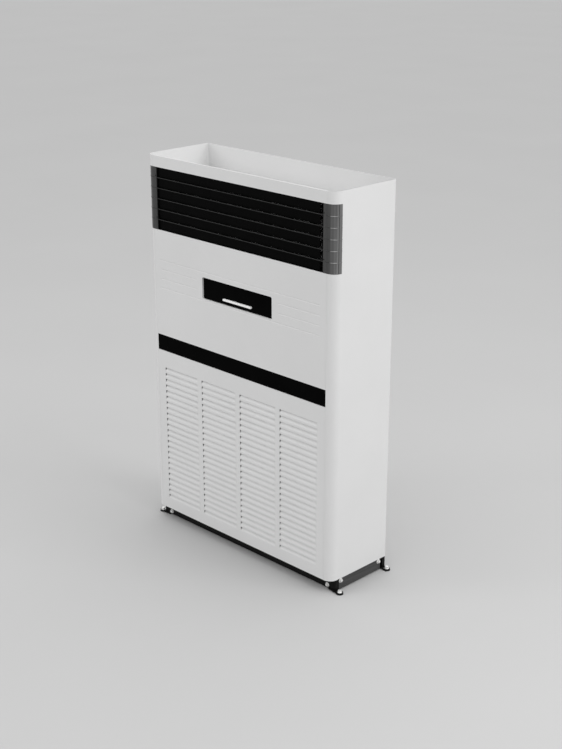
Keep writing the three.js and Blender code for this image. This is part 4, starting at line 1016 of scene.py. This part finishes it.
class AIRCON_OT_blades(Operator):
    """Shape one curved outlet blade with its pivots and crank, and copy it for every row"""

    bl_idname = "aircon.blades"
    bl_label = "Outlet blades"

    def execute(self, context):
        start, end = DUCT_WALL + 4 * MM - DUCT_HALF, DUCT_HALF - DUCT_WALL - 20 * MM
        half = 22.3 * MM
        rise = half / 4

        def bowed(z):
            """Where the blade's front face lies along Y, at a height from its axis."""
            return -MM - 1.1 * MM * (1 - (z / half) ** 2)

        blade = plate("outlet_blade", (start, -MM, -half), end - start, (0, rise))
        for step in range(1, 8):
            z = -half + step * rise
            pick(blade, "EDGE", edge_at(z=z))
            if step == 1:
                bpy.ops.transform.translate(value=(0, bowed(z) + MM, 0))
            extrude_edges((0, bowed(z + rise) - bowed(z), rise))
        face_from(blade, (0, 1, 0))
        thicken(blade, 2.6 * MM)
        soften(blade, 0.9 * MM, 3)
        web_start, web_end = end - 0.5 * MM, end + 2.5 * MM
        web = cube("crank", (web_start, 0, -3.4 * MM), (web_end, CRANK, 3.4 * MM))
        soften(web, 1.2 * MM, 3)
        turned(web, CRANK_LEAN, "X")
        parts = [blade, web]
        for x0, x1, radius, y, z in ((0.5 * MM - DUCT_HALF, start + 3 * MM, 3, 0, 0),
                                     (end - 3 * MM, DUCT_HALF - 0.5 * MM, 3, 0, 0),
                                     (end + MM, end + 10 * MM, 2, CRANK_Y, CRANK_Z),
                                     (web_start, web_end, 3.6, CRANK_Y, CRANK_Z),
                                     (web_start, web_end, 5, 0, 0)):
            parts.append(rod_x("pin", radius * MM, x0, x1, y, z, 24, 0.3 * MM))
        first = moved(joined(parts, "outlet_blade"), (0, BLADE_Y, BLADE_AXES[0]))
        blades = [first]
        for z in BLADE_AXES[1:]:
            blades.append(moved(copy_of(first, "outlet_blade"), (0, 0, z - BLADE_AXES[0])))
        for row, blade in enumerate(blades, 1):
            complete(blade, "black_plastic", f"outlet_blade_{row}", body=f"blade_{row}")
            blade.name = blade.data.name = f"swinging_blade_{row}"
        return {"FINISHED"}


# ---------------------------------------------------------------------------------- plinth

def hex_bolt(name, flange, across, height, axis_turn, place):
    """A bolt head with a round flange and a slightly domed hexagon."""
    base = disc(name, flange, 1.6 * MM, 48, (0, 0, 0.8 * MM))
    head = disc("head", across / 2 / math.cos(math.radians(30)), height - MM, 6, (0, 0, (height + MM) / 2))
    pick(head, "FACE", lambda face: face.normal.z > 0.9)
    bpy.ops.mesh.inset(thickness=1.2 * MM)
    bpy.ops.transform.translate(value=(0, 0, 0.7 * MM))
    bpy.ops.object.mode_set(mode="OBJECT")
    soften(base, 0.5 * MM, 3)
    soften(head, 0.4 * MM, 2, 20)
    bolt = joined([base, head], name)
    if axis_turn:
        turned(bolt, *axis_turn)
    return moved(bolt, place)


class AIRCON_OT_plinth(Operator):
    """Fold the plinth's beams and rails and fit their bolts, feet and pads"""

    bl_idname = "aircon.plinth"
    bl_label = "Plinth and feet"

    def execute(self, context):
        for name, node, web, depth, foot_y in (
                ("front_beam", "plinth_front_beam", FRONT + 43.5 * MM, 22 * MM, FOOT_Y["front"]),
                ("rear_beam", "plinth_rear_beam", BACK - MM, -20 * MM, FOOT_Y["rear"])):
            open_side = web + depth
            near_y, far_y = sorted((web, open_side))
            bottom, top = 4.5 * MM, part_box(node)[1].z
            beam = folded(name, [(open_side, top), (web, top), (web, bottom), (open_side, bottom)],
                          -PLINTH_HALF, PLINTH_HALF, 3 * MM, 4 * MM, (0, open_side, (bottom + top) / 2))
            soften(beam, 0.5 * MM)
            parts = [beam]
            for end in (-1, 1):
                x0, x1 = sorted((end * (PLINTH_HALF - 3 * MM), end * PLINTH_HALF))
                cap = cube("cap", (x0, near_y + MM, bottom + MM), (x1, far_y - MM, top - MM))
                soften(cap, 0.4 * MM)
                parts.append(cap)
                foot = (end * FOOT_X, foot_y, 6 * MM)
                x0, x1 = sorted((end * 552 * MM, end * FOOT_X))
                tab = cube("tab", (x0, foot_y - 9 * MM, 4 * MM), (x1, foot_y + 9 * MM, 8 * MM))
                pick(tab, "EDGE", lambda edge: edge_at(x=end * FOOT_X)(edge) and not upright(edge))
                bpy.ops.transform.resize(value=(1, 16 / 9, 1), center_override=foot)
                bpy.ops.object.mode_set(mode="OBJECT")
                carve(tab, disc("eye", 16 * MM, 4 * MM, 64, foot), "UNION")
                carve(tab, disc("hole", FOOT_HOLE, 0.02, 40, foot))
                soften(tab, 0.5 * MM)
                parts.append(tab)
            # The beams take the darker copy of the plinth paint: painted shade.
            complete(joined(parts, "plinth_" + name), "beam_painted_shade", node, slot="dark_paint")

        low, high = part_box("plinth_right_rail")
        lip = 40 * MM - high.x
        rail = folded("plinth_rail", [(lip, high.z), (-high.x, high.z), (-high.x, low.z), (lip, low.z)],
                      low.y, high.y, 3 * MM, 4 * MM, (0, 0, (low.z + high.z) / 2))
        soften(rail, 0.5 * MM)
        turned(rail, 90, "Z")
        pair(rail, "plinth_rail_{}", "dark_paint", "plinth_{}_rail")

        for number, x in enumerate((-541.6 * MM, 541.6 * MM), 1):
            bolt = hex_bolt(f"plinth_bolt_front_{number}", 11 * MM, 13 * MM, 8 * MM, (90, "X"),
                            (x, FRONT + 43.5 * MM, 21.5 * MM))
            complete(bolt, "bright_steel")
        for side, word in ((-1, "left"), (1, "right")):
            for number, y in enumerate((-117 * MM, 141.5 * MM), 1):
                bolt = hex_bolt(f"plinth_bolt_{word}_{number}", 11 * MM, 13 * MM, 8 * MM, (side * 90, "Y"),
                                (side * PLINTH_HALF, y, 50 * MM))
                complete(bolt, "bright_steel")

        for row, y in FOOT_Y.items():
            for side, x in (("left", -FOOT_X), ("right", FOOT_X)):
                pad = disc("pad", 17 * MM, 3.7 * MM, 64, (x, y, 1.85 * MM))
                carve(pad, disc("hole", FOOT_HOLE, 0.02, 32, (x, y, 0)))
                soften(pad, 0.8 * MM, 3)
                complete(pad, "foot_rubber", f"foot_pad_{row}_{side}")
                pad.name = pad.data.name = f"rubber_pad_{row}_{side}"
                bolt = hex_bolt("foot_bolt", 11.5 * MM, 15.6 * MM, 10.2 * MM, None, (x, y, 8.3 * MM))
                stem = disc("stem", 6 * MM, 7.3 * MM, 32, (x, y, 4.65 * MM))
                soften(stem, 0.4 * MM)
                bolt = joined([bolt, stem], "anchor_bolt")
                complete(bolt, "bright_steel", f"foot_bolt_{row}_{side}")
                bolt.name = bolt.data.name = f"anchor_bolt_{row}_{side}"
        return {"FINISHED"}


# --------------------------------------------------------------------- vanes and their gear

def rod_x(name, radius, x0, x1, y, z, sides=32, rim=0.0):
    rod = disc(name, radius, x1 - x0, sides)
    if rim:
        soften(rod, rim)
    return moved(turned(rod, 90, "Y"), ((x0 + x1) / 2, y, z))


def tube_x(name, outer, inner, x0, x1, y, z, sides=64):
    tube = rod_x(name, outer, x0, x1, y, z, sides)
    carve(tube, rod_x("bore", inner, x0 - MM, x1 + MM, y, z, sides))
    return tube


def swing_motor(name):
    """A small geared motor about Z: a round can on a plate with two screw ears."""
    ears = cube(name, (-21 * MM, -4 * MM, 0), (21 * MM, 4 * MM, 1.5 * MM))
    round_edges(ears, upright, 3.9 * MM, 8)
    for x in (-17 * MM, 17 * MM):
        carve(ears, disc("ear_hole", 1.7 * MM, 0.01, 24, (x, 0, 0)))
    soften(ears, 0.3 * MM)
    can = disc("can", 13 * MM, 18 * MM, 48, (0, 0, 9 * MM))
    soften(can, MM, 3)
    return joined([ears, can], name)


class AIRCON_OT_blade_gear(Operator):
    """Make the upright blade link, its drive crank and the motor that turns it"""

    bl_idname = "aircon.blade_gear"
    bl_label = "Blade gear"

    def execute(self, context):
        low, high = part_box("blade_link")
        y, motor_z = BLADE_Y + CRANK_Y, BARS[2]
        pin_z = motor_z + CRANK_Z
        half = 3.6 * MM
        bar = cube("blade_link_bar", (low.x, y - half, low.z), (high.x, y + half, high.z))
        arm = cube("arm", (low.x, y, pin_z - half), (high.x, high.y, pin_z + half))
        carve(bar, arm, "UNION")
        eyes = [rod_x("eye", 2.45 * MM, low.x - MM, high.x + MM, y, z + CRANK_Z) for z in BLADE_AXES]
        eyes.append(rod_x("eye", 2.45 * MM, low.x - MM, high.x + MM, DRIVE_Y + CRANK_Y, pin_z))
        carve(bar, joined(eyes, "eyes"))
        soften(bar, 0.5 * MM)
        complete(bar, "black_plastic", "blade_link", body="blade_link")

        start = high.x + 2 * MM
        end = start + 3 * MM
        web = cube("drive_crank", (start, 0, -3.4 * MM), (end, CRANK, 3.4 * MM))
        soften(web, 1.2 * MM, 3)
        turned(web, CRANK_LEAN, "X")
        rim = 0.3 * MM
        parts = [web, rod_x("boss", 5 * MM, start, end, 0, 0, rim=rim),
                 rod_x("eye", 3.6 * MM, start, end, CRANK_Y, CRANK_Z, rim=rim),
                 rod_x("shaft", 2.7 * MM, start + MM, DUCT_HALF - 0.2 * MM, 0, 0, rim=rim),
                 rod_x("pin", 2 * MM, low.x - MM, start + MM, CRANK_Y, CRANK_Z, rim=rim)]
        crank = moved(joined(parts, "drive_crank"), (0, DRIVE_Y, motor_z))
        complete(crank, "gear_plastic", "blade_drive_crank", body="blade_crank", slot="white_plastic")

        motor = turned(swing_motor("blade_swing_motor"), 90, "Y")
        moved(motor, (DUCT_HALF + GAP, DRIVE_Y, motor_z))
        complete(motor, "zinc_steel", "blade_motor")
        motor = turned(swing_motor("vane_swing_motor"), 180, "X")
        moved(motor, (VANE_AXES[0], VANE_Y, FRAME_LOW.z - GAP))
        complete(motor, "zinc_steel", "vane_motor")
        return {"FINISHED"}


class AIRCON_OT_vanes(Operator):
    """Shape one upright vane, copy it across the outlet and tie the copies with their link"""

    bl_idname = "aircon.vanes"
    bl_label = "Upright vanes"

    def execute(self, context):
        half = 22 * MM
        low, high = CHEEK_LOW.z + 3.7 * MM - BARS[2], CHEEK_HIGH.z - 3.7 * MM - BARS[2]
        leaf = cube("upright_vane", (-1.2 * MM, -half, low), (1.2 * MM, half, high))
        activate(leaf)
        bpy.ops.object.mode_set(mode="EDIT")
        for y in (-14 * MM, -6 * MM):
            slice_at((0, y, 0), (0, 1, 0))
        for y, factor in ((-half, 0.35), (-14 * MM, 1.35), (-6 * MM, 1.6)):
            pick(leaf, "VERT", lambda vertex: near(vertex.co.y, y))
            bpy.ops.transform.resize(value=(factor, 1, 1), center_override=(0, y, 0))
        bpy.ops.object.mode_set(mode="OBJECT")
        carve(leaf, cube("notch", (-5 * MM, 10 * MM, -7 * MM), (5 * MM, half + 5 * MM, 7 * MM)))
        soften(leaf, 0.3 * MM)
        pins = [disc("pin", 3 * MM, 9 * MM, 32, (0, 0, low - 1.5 * MM)),
                disc("pin", 3 * MM, 9 * MM, 32, (0, 0, high + 1.5 * MM)),
                disc("pin", 2 * MM, 16 * MM, 24, (0, VANE_PIN, 0))]
        first = joined([leaf, *softened(pins, 0.3 * MM)], "upright_vane")
        moved(first, (VANE_AXES[0], VANE_Y, BARS[2]))
        vanes = [first]
        for x in VANE_AXES[1:]:
            vanes.append(moved(copy_of(first, "upright_vane"), (x - VANE_AXES[0], 0, 0)))
        for column, vane in enumerate(vanes, 1):
            complete(vane, "black_plastic", f"outlet_vane_{column}", body=f"vane_{column}")
            vane.name = vane.data.name = f"upright_vane_{column}"
        low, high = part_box("vane_link")
        bar = cube("vane_link_bar", low, high)
        eyes = [disc("eye", 2.45 * MM, 0.02, 24, (x, VANE_Y + VANE_PIN, BARS[2])) for x in VANE_AXES]
        carve(bar, joined(eyes, "eyes"))
        soften(bar, 0.4 * MM)
        complete(bar, "black_plastic", "vane_link", body="vane_link")
        return {"FINISHED"}


# ---------------------------------------------------------------------------------- inside

class AIRCON_OT_filters(Operator):
    """Make the two washable filters: a ribbed frame over a fine net"""

    bl_idname = "aircon.filters"
    bl_label = "Filters"

    def execute(self, context):
        low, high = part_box("right_filter")
        border, rib = 12 * MM, 5 * MM
        width = (high.x - low.x - 2 * border - rib) / 2
        height = (high.z - low.z - 2 * border - 3 * rib) / 4
        body = cube("filter_frame", low, high)
        cells = []
        for column in range(2):
            for row in range(4):
                corner = Vector((low.x + border + column * (width + rib), low.y - 0.01,
                                 low.z + border + row * (height + rib)))
                cells.append(cube("cell", corner, corner + Vector((width, 0.04, height))))
        carve(body, joined(cells, "cells"))
        soften(body, 0.8 * MM)
        middle_y = (low.y + high.y) / 2
        net = cube("filter_net", (low.x + 4 * MM, middle_y - 0.3 * MM, low.z + 4 * MM),
                   (high.x - 4 * MM, middle_y + 0.3 * MM, high.z - 4 * MM))
        soften(net, 0.1 * MM, 1)
        for side, duplicate in (("right", copy_of), ("left", twin_across)):
            for piece, finish in ((body, "filter_mesh"), (net, "filter_net")):
                part = duplicate(piece, f"{piece.name}_{side}")
                complete(part, finish, f"{side}_filter", body=f"{side}_filter", slot="filter_mesh")
        for piece in (body, net):
            bpy.data.objects.remove(piece)
        return {"FINISHED"}


class AIRCON_OT_blower(Operator):
    """Build the squirrel-cage wheels, their scrolls, the motor, its straps and the shaft"""

    bl_idname = "aircon.blower"
    bl_label = "Blower"

    def execute(self, context):
        y, z = SHAFT_Y, SHAFT_Z
        inner, outer = WHEEL_X - 110 * MM, WHEEL_X + 110 * MM
        hoop = tube_x("hoop", 123 * MM, 97 * MM, outer - 4 * MM, outer, 0, 0, 96)
        soften(hoop, MM)
        hub = rod_x("hub", 123 * MM, inner, inner + 3 * MM, 0, 0, 96)
        carve(hub, rod_x("boss", 20 * MM, inner, inner + 32 * MM, 0, 0, 48), "UNION")
        carve(hub, rod_x("bore", 9.8 * MM, inner - MM, inner + 40 * MM, 0, 0, 48))
        soften(hub, 0.8 * MM)
        blade = plate("wheel_blade", (inner + MM, 99 * MM, 0), 218 * MM, (4 * MM, 0.6 * MM))
        pick(blade, "EDGE", edge_at(y=103 * MM, z=0.6 * MM))
        for rise in (1.2, 1.9, 2.8, 4.0):
            extrude_edges((0, 4.2 * MM, rise * MM))
        face_from(blade, (0, 110 * MM, 50 * MM))
        thicken(blade, 0.9 * MM)
        count = 38
        blades = [blade]
        for step in range(1, count):
            blades.append(turned(copy_of(blade, "wheel_blade"), 360 * step / count, "X"))
        wheel = moved(joined([hoop, hub, *blades], "blower_wheel"), (0, y, z))
        pair(wheel, "squirrel_cage_{}", "zinc_steel", "{}_blower_wheel", body="fan_rotor")

        left, right = WHEEL_X - 118 * MM, WHEEL_X + 118 * MM
        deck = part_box("right_scroll_housing")[1].z
        steps, tip = 56, 122 * MM
        line = [(y - 72 * MM, deck)]
        for step in range(steps + 1):
            share = step / steps
            angle = math.radians(130 + share * 230)
            radius = tip * (1.08 + 0.34 * share)
            line.append((y + radius * math.cos(angle), z + radius * math.sin(angle)))
        line.append((y + tip * 1.42, deck))
        (y0, z0), (y1, z1) = line[:2]
        scroll = plate("scroll", (left, y0, z0), right - left, (y1 - y0, z1 - z0))
        pick(scroll, "EDGE", edge_at(y=y1, z=z1))
        for (y0, z0), (y1, z1) in zip(line[1:], line[2:]):
            extrude_edges((0, y1 - y0, z1 - z0))
        for x in (left, right):
            pick(scroll, "EDGE", edge_at(x=x))
            bpy.ops.mesh.edge_face_add()
        face_from(scroll, (WHEEL_X, y, z))
        thicken(scroll, 1.2 * MM)
        carve(scroll, rod_x("inlet", 100 * MM, right - 20 * MM, right + 20 * MM, y, z, 96))
        carve(scroll, rod_x("shaft_hole", 30 * MM, left - 20 * MM, left + 20 * MM, y, z, 48))
        mouth = tube_x("mouth", 102 * MM, 99 * MM, right - 6 * MM, right + 2 * MM, y, z, 96)
        soften(mouth, 1.2 * MM, 3)
        soften(scroll, 0.3 * MM, 1, 50)
        pair(joined([scroll, mouth], "scroll"), "scroll_{}", "zinc_steel", "{}_scroll_housing")

        shaft = rod_x("blower_shaft", 9.5 * MM, -184 * MM, 184 * MM, y, z, 48)
        soften(shaft, MM)
        complete(shaft, "bright_steel", "fan_shaft", body="fan_rotor")
        low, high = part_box("fan_motor")
        barrel = rod_x("blower_motor", high.z - z, -56 * MM, 56 * MM, y, z, 96)
        shields = rod_x("shields", high.z - z - 12 * MM, -68 * MM, 68 * MM, y, z, 96)
        bosses = rod_x("bosses", 22 * MM, low.x, high.x, y, z, 64)
        for part, width in ((barrel, 4), (shields, 5), (bosses, 2)):
            soften(part, width * MM, 4)
        motor = joined([barrel, shields, bosses], "blower_motor")
        carve(motor, rod_x("bore", 9.8 * MM, low.x - MM, high.x + MM, y, z, 48))
        complete(motor, "dark_paint", "fan_motor")
        low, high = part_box("motor_bracket")
        radius, width = 67.5 * MM, 24 * MM
        parts = [cube("motor_hanger", (low.x, y - 40 * MM, high.z - 4.7 * MM),
                      (high.x, y + 40 * MM, high.z))]
        for x in (-56 * MM, 32 * MM):
            parts.append(tube_x("strap", radius + 4 * MM, radius, x, x + width, y, z, 96))
            parts.append(cube("post", (x, y - 3 * MM, z + radius + MM),
                              (x + width, y + 3 * MM, high.z - 4 * MM)))
        complete(joined(softened(parts, 0.6 * MM), "motor_hanger"), "zinc_steel", "motor_bracket")
        return {"FINISHED"}


class AIRCON_OT_coil(Operator):
    """Stack the coil's fins between its plates, with return bends, over the drain pan"""

    bl_idname = "aircon.coil"
    bl_label = "Coil and drain pan"

    def execute(self, context):
        half, length, span = 33 * MM, 620 * MM, 520 * MM
        fin = cube("fins", (5 * MM - span, -half, 0), (5.4 * MM - span, half, length))
        repeat(fin, 260, (4 * MM, 0, 0))
        parts = []
        for z in (0, length - 2 * MM):
            parts.append(cube("long_plate", (-span, -half - MM, z), (span, half + MM, z + 2 * MM)))
        for side in (-1, 1):
            x0, x1 = sorted((side * (span - MM), side * (span + 2 * MM)))
            parts.append(cube("end_plate", (x0, -half - 6 * MM, -4 * MM),
                              (x1, half + 6 * MM, length + 4 * MM)))
        softened(parts, 0.4 * MM)
        deselect()
        bpy.ops.mesh.primitive_torus_add(major_radius=16 * MM, minor_radius=5 * MM, major_segments=48,
                                         minor_segments=20, location=(span, 0, 0))
        bend = bpy.context.active_object
        settle()
        bpy.ops.object.mode_set(mode="EDIT")
        bpy.ops.mesh.select_all(action="SELECT")
        bpy.ops.mesh.bisect(plane_co=(span, 0, 0), plane_no=(1, 0, 0), clear_inner=True, use_fill=True)
        bpy.ops.object.mode_set(mode="OBJECT")
        moved(bend, (0, 0, length / 8))
        for step in range(4):
            right = bend if step == 0 else moved(copy_of(bend, "bend"), (0, 0, step * length / 4))
            parts.append(right)
        parts += [twin_across(part, "bend") for part in parts[-4:]]
        coil = joined([fin, *parts], "finned_coil")
        turned(coil, -24, "X")
        moved(coil, (0, -112 * MM, 772 * MM))
        complete(coil, "fin_aluminium", "evaporator_coil")

        low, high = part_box("drain_pan")
        floor_z, near_y, far_y = 706 * MM, FRONT + 30 * MM, -62 * MM
        pan = cube("drip_trough", (low.x, near_y, floor_z), (high.x, far_y, floor_z + 42 * MM))
        sink(pan, lambda face: face.normal.z > 0.9, 2 * MM, (0, 0, -40 * MM))
        parts = [pan]
        for side in (-1, 1):
            x0, x1 = sorted((side * 498 * MM, side * 501 * MM))
            parts.append(cube("leg", (x0, near_y + 10 * MM, low.z), (x1, far_y - 10 * MM, floor_z + MM)))
            x0, x1 = sorted((side * 522.3 * MM, side * 524.3 * MM))
            parts.append(cube("end_bracket", (x0, -130 * MM, floor_z + MM), (x1, -80 * MM, high.z)))
        pan = joined(softened(parts, 0.6 * MM), "drip_trough")
        complete(pan, "black_plastic", "drain_pan")
        return {"FINISHED"}


class AIRCON_OT_sheets(Operator):
    """Fold the base tray, the deck, the electrical box with its lid and the display's housing"""

    bl_idname = "aircon.sheets"
    bl_label = "Inner sheets"

    def execute(self, context):
        low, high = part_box("base_pan")
        tray = cube("base_tray", low, high)
        round_edges(tray, upright, 16 * MM, 10)
        sink(tray, lambda face: face.normal.z > 0.9, 1.5 * MM, (0, 0, low.z + 1.5 * MM - high.z))
        soften(tray, 0.4 * MM)
        complete(tray, "zinc_steel", "base_pan")

        low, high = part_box("blower_deck")
        deck_z = 640 * MM
        deck = cube("middle_deck", (low.x, low.y, deck_z), (high.x, high.y, deck_z + 2 * MM))
        y = SHAFT_Y
        for side in (-1, 1):
            x0, x1 = sorted((side * (WHEEL_X - 115 * MM), side * (WHEEL_X + 115 * MM)))
            carve(deck, cube("mouth", (x0, y - 68 * MM, deck_z - 0.01), (x1, y + 171.2 * MM, deck_z + 0.02)))
        round_edges(deck, lambda edge: upright(edge) and near(abs(edge.verts[0].co.x), high.x)
                    and near(edge.verts[0].co.y, high.y), 11.4 * MM, 8)
        fold = cube("front_fold", (-540 * MM, low.y, deck_z - 20 * MM),
                    (540 * MM, low.y + 1.5 * MM, deck_z + MM))
        complete(joined(softened([deck, fold], 0.4 * MM), "middle_deck"), "zinc_steel", "blower_deck")

        low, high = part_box("control_box")
        top = 600 * MM
        box = open_box("electrics_box", low, (high.x, high.y, top), lambda face: face.normal.y < -0.9,
                       1.2 * MM)
        hanger = cube("hanger", (low.x, high.y - 1.2 * MM, top - MM), (high.x, high.y, high.z))
        tab = cube("tab", (low.x, high.y - 22 * MM, high.z - 1.2 * MM), high)
        parts = softened([box, hanger, tab], 0.3 * MM)
        complete(joined(parts, "electrics_box"), "zinc_steel", "control_box")
        low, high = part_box("control_box_lid")
        lid = open_box("electrics_lid", low, high, lambda face: face.normal.y > 0.9, 1.2 * MM)
        soften(lid, 0.4 * MM)
        screws = []
        for x in (low.x + 12 * MM, high.x - 12 * MM):
            for z in (low.z + 14 * MM, high.z - 14 * MM):
                screw = turned(disc("lid_screw", 4 * MM, 1.6 * MM, 32), 90, "X")
                soften(screw, 0.5 * MM, 3)
                screws.append(moved(screw, (x, low.y - 0.4 * MM, z)))
        complete(joined([lid, *screws], "electrics_lid"), "zinc_steel", "control_box_lid")

        low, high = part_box("display_housing")
        reach = DISPLAY_HALF - 8 * MM
        shell = rounded_block("display_box", (-reach, low.y, low.z), (reach, high.y, high.z), 6 * MM)
        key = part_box("key_bar")
        middle_z = (key[0].z + key[1].z) / 2
        pocket = rounded_block("pocket", (-98 * MM, low.y - 0.01, middle_z - 10 * MM),
                               (98 * MM, low.y + 4.1 * MM, middle_z + 10 * MM), 9.8 * MM)
        carve(shell, pocket)
        parts = [shell]
        for side in (-1, 1):
            x0, x1 = sorted((side * (reach - 2 * MM), side * high.x))
            parts.append(cube("ear", (x0, low.y + 4 * MM, 1268 * MM), (x1, low.y + 7 * MM, 1288 * MM)))
        complete(joined(softened(parts, 0.6 * MM), "display_box"), "black_plastic", "display_housing")
        return {"FINISHED"}


# ---------------------------------------------------------------------------------- stage

def lamp(name, place, target, size, power):
    data = bpy.data.lights.new(name, "AREA")
    data.shape = "RECTANGLE"
    data.size, data.size_y = size
    data.energy = power
    piece = bpy.data.objects.new(name, data)
    bpy.context.scene.collection.objects.link(piece)
    piece.location = place
    piece.rotation_euler = (Vector(target) - Vector(place)).to_track_quat("-Z", "Y").to_euler()
    return piece


class AIRCON_OT_stage(Operator):
    """Lay the floor, hang the lamps and place the camera"""

    bl_idname = "aircon.stage"
    bl_label = "Stage"

    def execute(self, context):
        studio = context.scene.aircon_studio
        scene = context.scene
        floor = disc("floor", 60, 0.02, 96, (0, 0, -0.01))
        recipe = Recipe("studio_floor", 0.85, specular=0.1)
        recipe.colour(studio.floor, recipe.ranged(recipe.noise(0.8, 3), 0.99, 1.01))
        floor.data.materials.append(recipe.material)

        world = bpy.data.worlds.new("studio_light")
        scene.world = world
        world.use_nodes = True
        background = world.node_tree.nodes["Background"]
        background.inputs["Color"].default_value = (1, 1, 1, 1)
        nodes, links = world.node_tree.nodes, world.node_tree.links
        split = nodes.new("ShaderNodeSeparateXYZ")
        links.new(nodes.new("ShaderNodeTexCoord").outputs["Generated"], split.inputs["Vector"])
        height = nodes.new("ShaderNodeMapRange")
        height.inputs["To Min"].default_value = studio.horizon
        height.inputs["To Max"].default_value = studio.zenith
        links.new(split.outputs["Z"], height.inputs["Value"])
        links.new(height.outputs["Result"], background.inputs["Strength"])
        lamp("side_lamp", (5.6, 1.0, 4.8), (0, 0, 1.0), (4.5, 4.5), studio.side_lamp)
        lamp("front_lamp", (-3.4, -5.0, 3.6), (0, 0, 0.8), (2.0, 2.0), studio.front_lamp)

        data = bpy.data.cameras.new("camera")
        data.sensor_width = 36
        data.lens = studio.lens
        data.clip_end = 200
        camera = bpy.data.objects.new("camera", data)
        scene.collection.objects.link(camera)
        camera.location = (4.2726, -4.1749, 3.0320)
        camera.rotation_euler = [math.radians(angle) for angle in (70.04, 0, 45.04)]
        scene.camera = camera
        scene.view_settings.view_transform = "Standard"
        return {"FINISHED"}


# ------------------------------------------------------------------------------- add-on

class AIRCON_PT_sidebar(Panel):
    """Lists the steps that build the air conditioner"""

    bl_idname = "AIRCON_PT_sidebar"
    bl_label = "Air Conditioner"
    bl_space_type = "VIEW_3D"
    bl_region_type = "UI"
    bl_category = "Air Conditioner"

    def draw(self, context):
        scene = context.scene
        for group in (scene.aircon_shape, scene.aircon_finishes, scene.aircon_studio):
            box = self.layout.box()
            for name in group.bl_rna.properties.keys():
                if name not in ("rna_type", "name"):
                    box.prop(group, name)
        for step in STEPS:
            self.layout.operator(step.bl_idname)


STEPS = (
    AIRCON_OT_finishes,
    AIRCON_OT_stage,
    AIRCON_OT_casing_sides,
    AIRCON_OT_rear_sheet,
    AIRCON_OT_top,
    AIRCON_OT_upper_panel,
    AIRCON_OT_divider,
    AIRCON_OT_intake_door,
    AIRCON_OT_display,
    AIRCON_OT_cheeks,
    AIRCON_OT_outlet_frame,
    AIRCON_OT_blades,
    AIRCON_OT_plinth,
    AIRCON_OT_blade_gear,
    AIRCON_OT_vanes,
    AIRCON_OT_filters,
    AIRCON_OT_blower,
    AIRCON_OT_coil,
    AIRCON_OT_sheets,
)
GROUPS = {"aircon_shape": CabinetShape, "aircon_finishes": Finishes, "aircon_studio": Studio}


def register():
    for group in GROUPS.values():
        bpy.utils.register_class(group)
    for name, group in GROUPS.items():
        setattr(bpy.types.Scene, name, PointerProperty(type=group))
    for item in (*STEPS, AIRCON_PT_sidebar):
        bpy.utils.register_class(item)


def unregister():
    for item in reversed((*STEPS, AIRCON_PT_sidebar)):
        bpy.utils.unregister_class(item)
    for name in GROUPS:
        delattr(bpy.types.Scene, name)
    for group in reversed(tuple(GROUPS.values())):
        bpy.utils.unregister_class(group)


def main():
    register()
    for step in STEPS:
        family, _, action = step.bl_idname.partition(".")
        getattr(getattr(bpy.ops, family), action)()
    deselect()


if __name__ == "__main__":
    main()
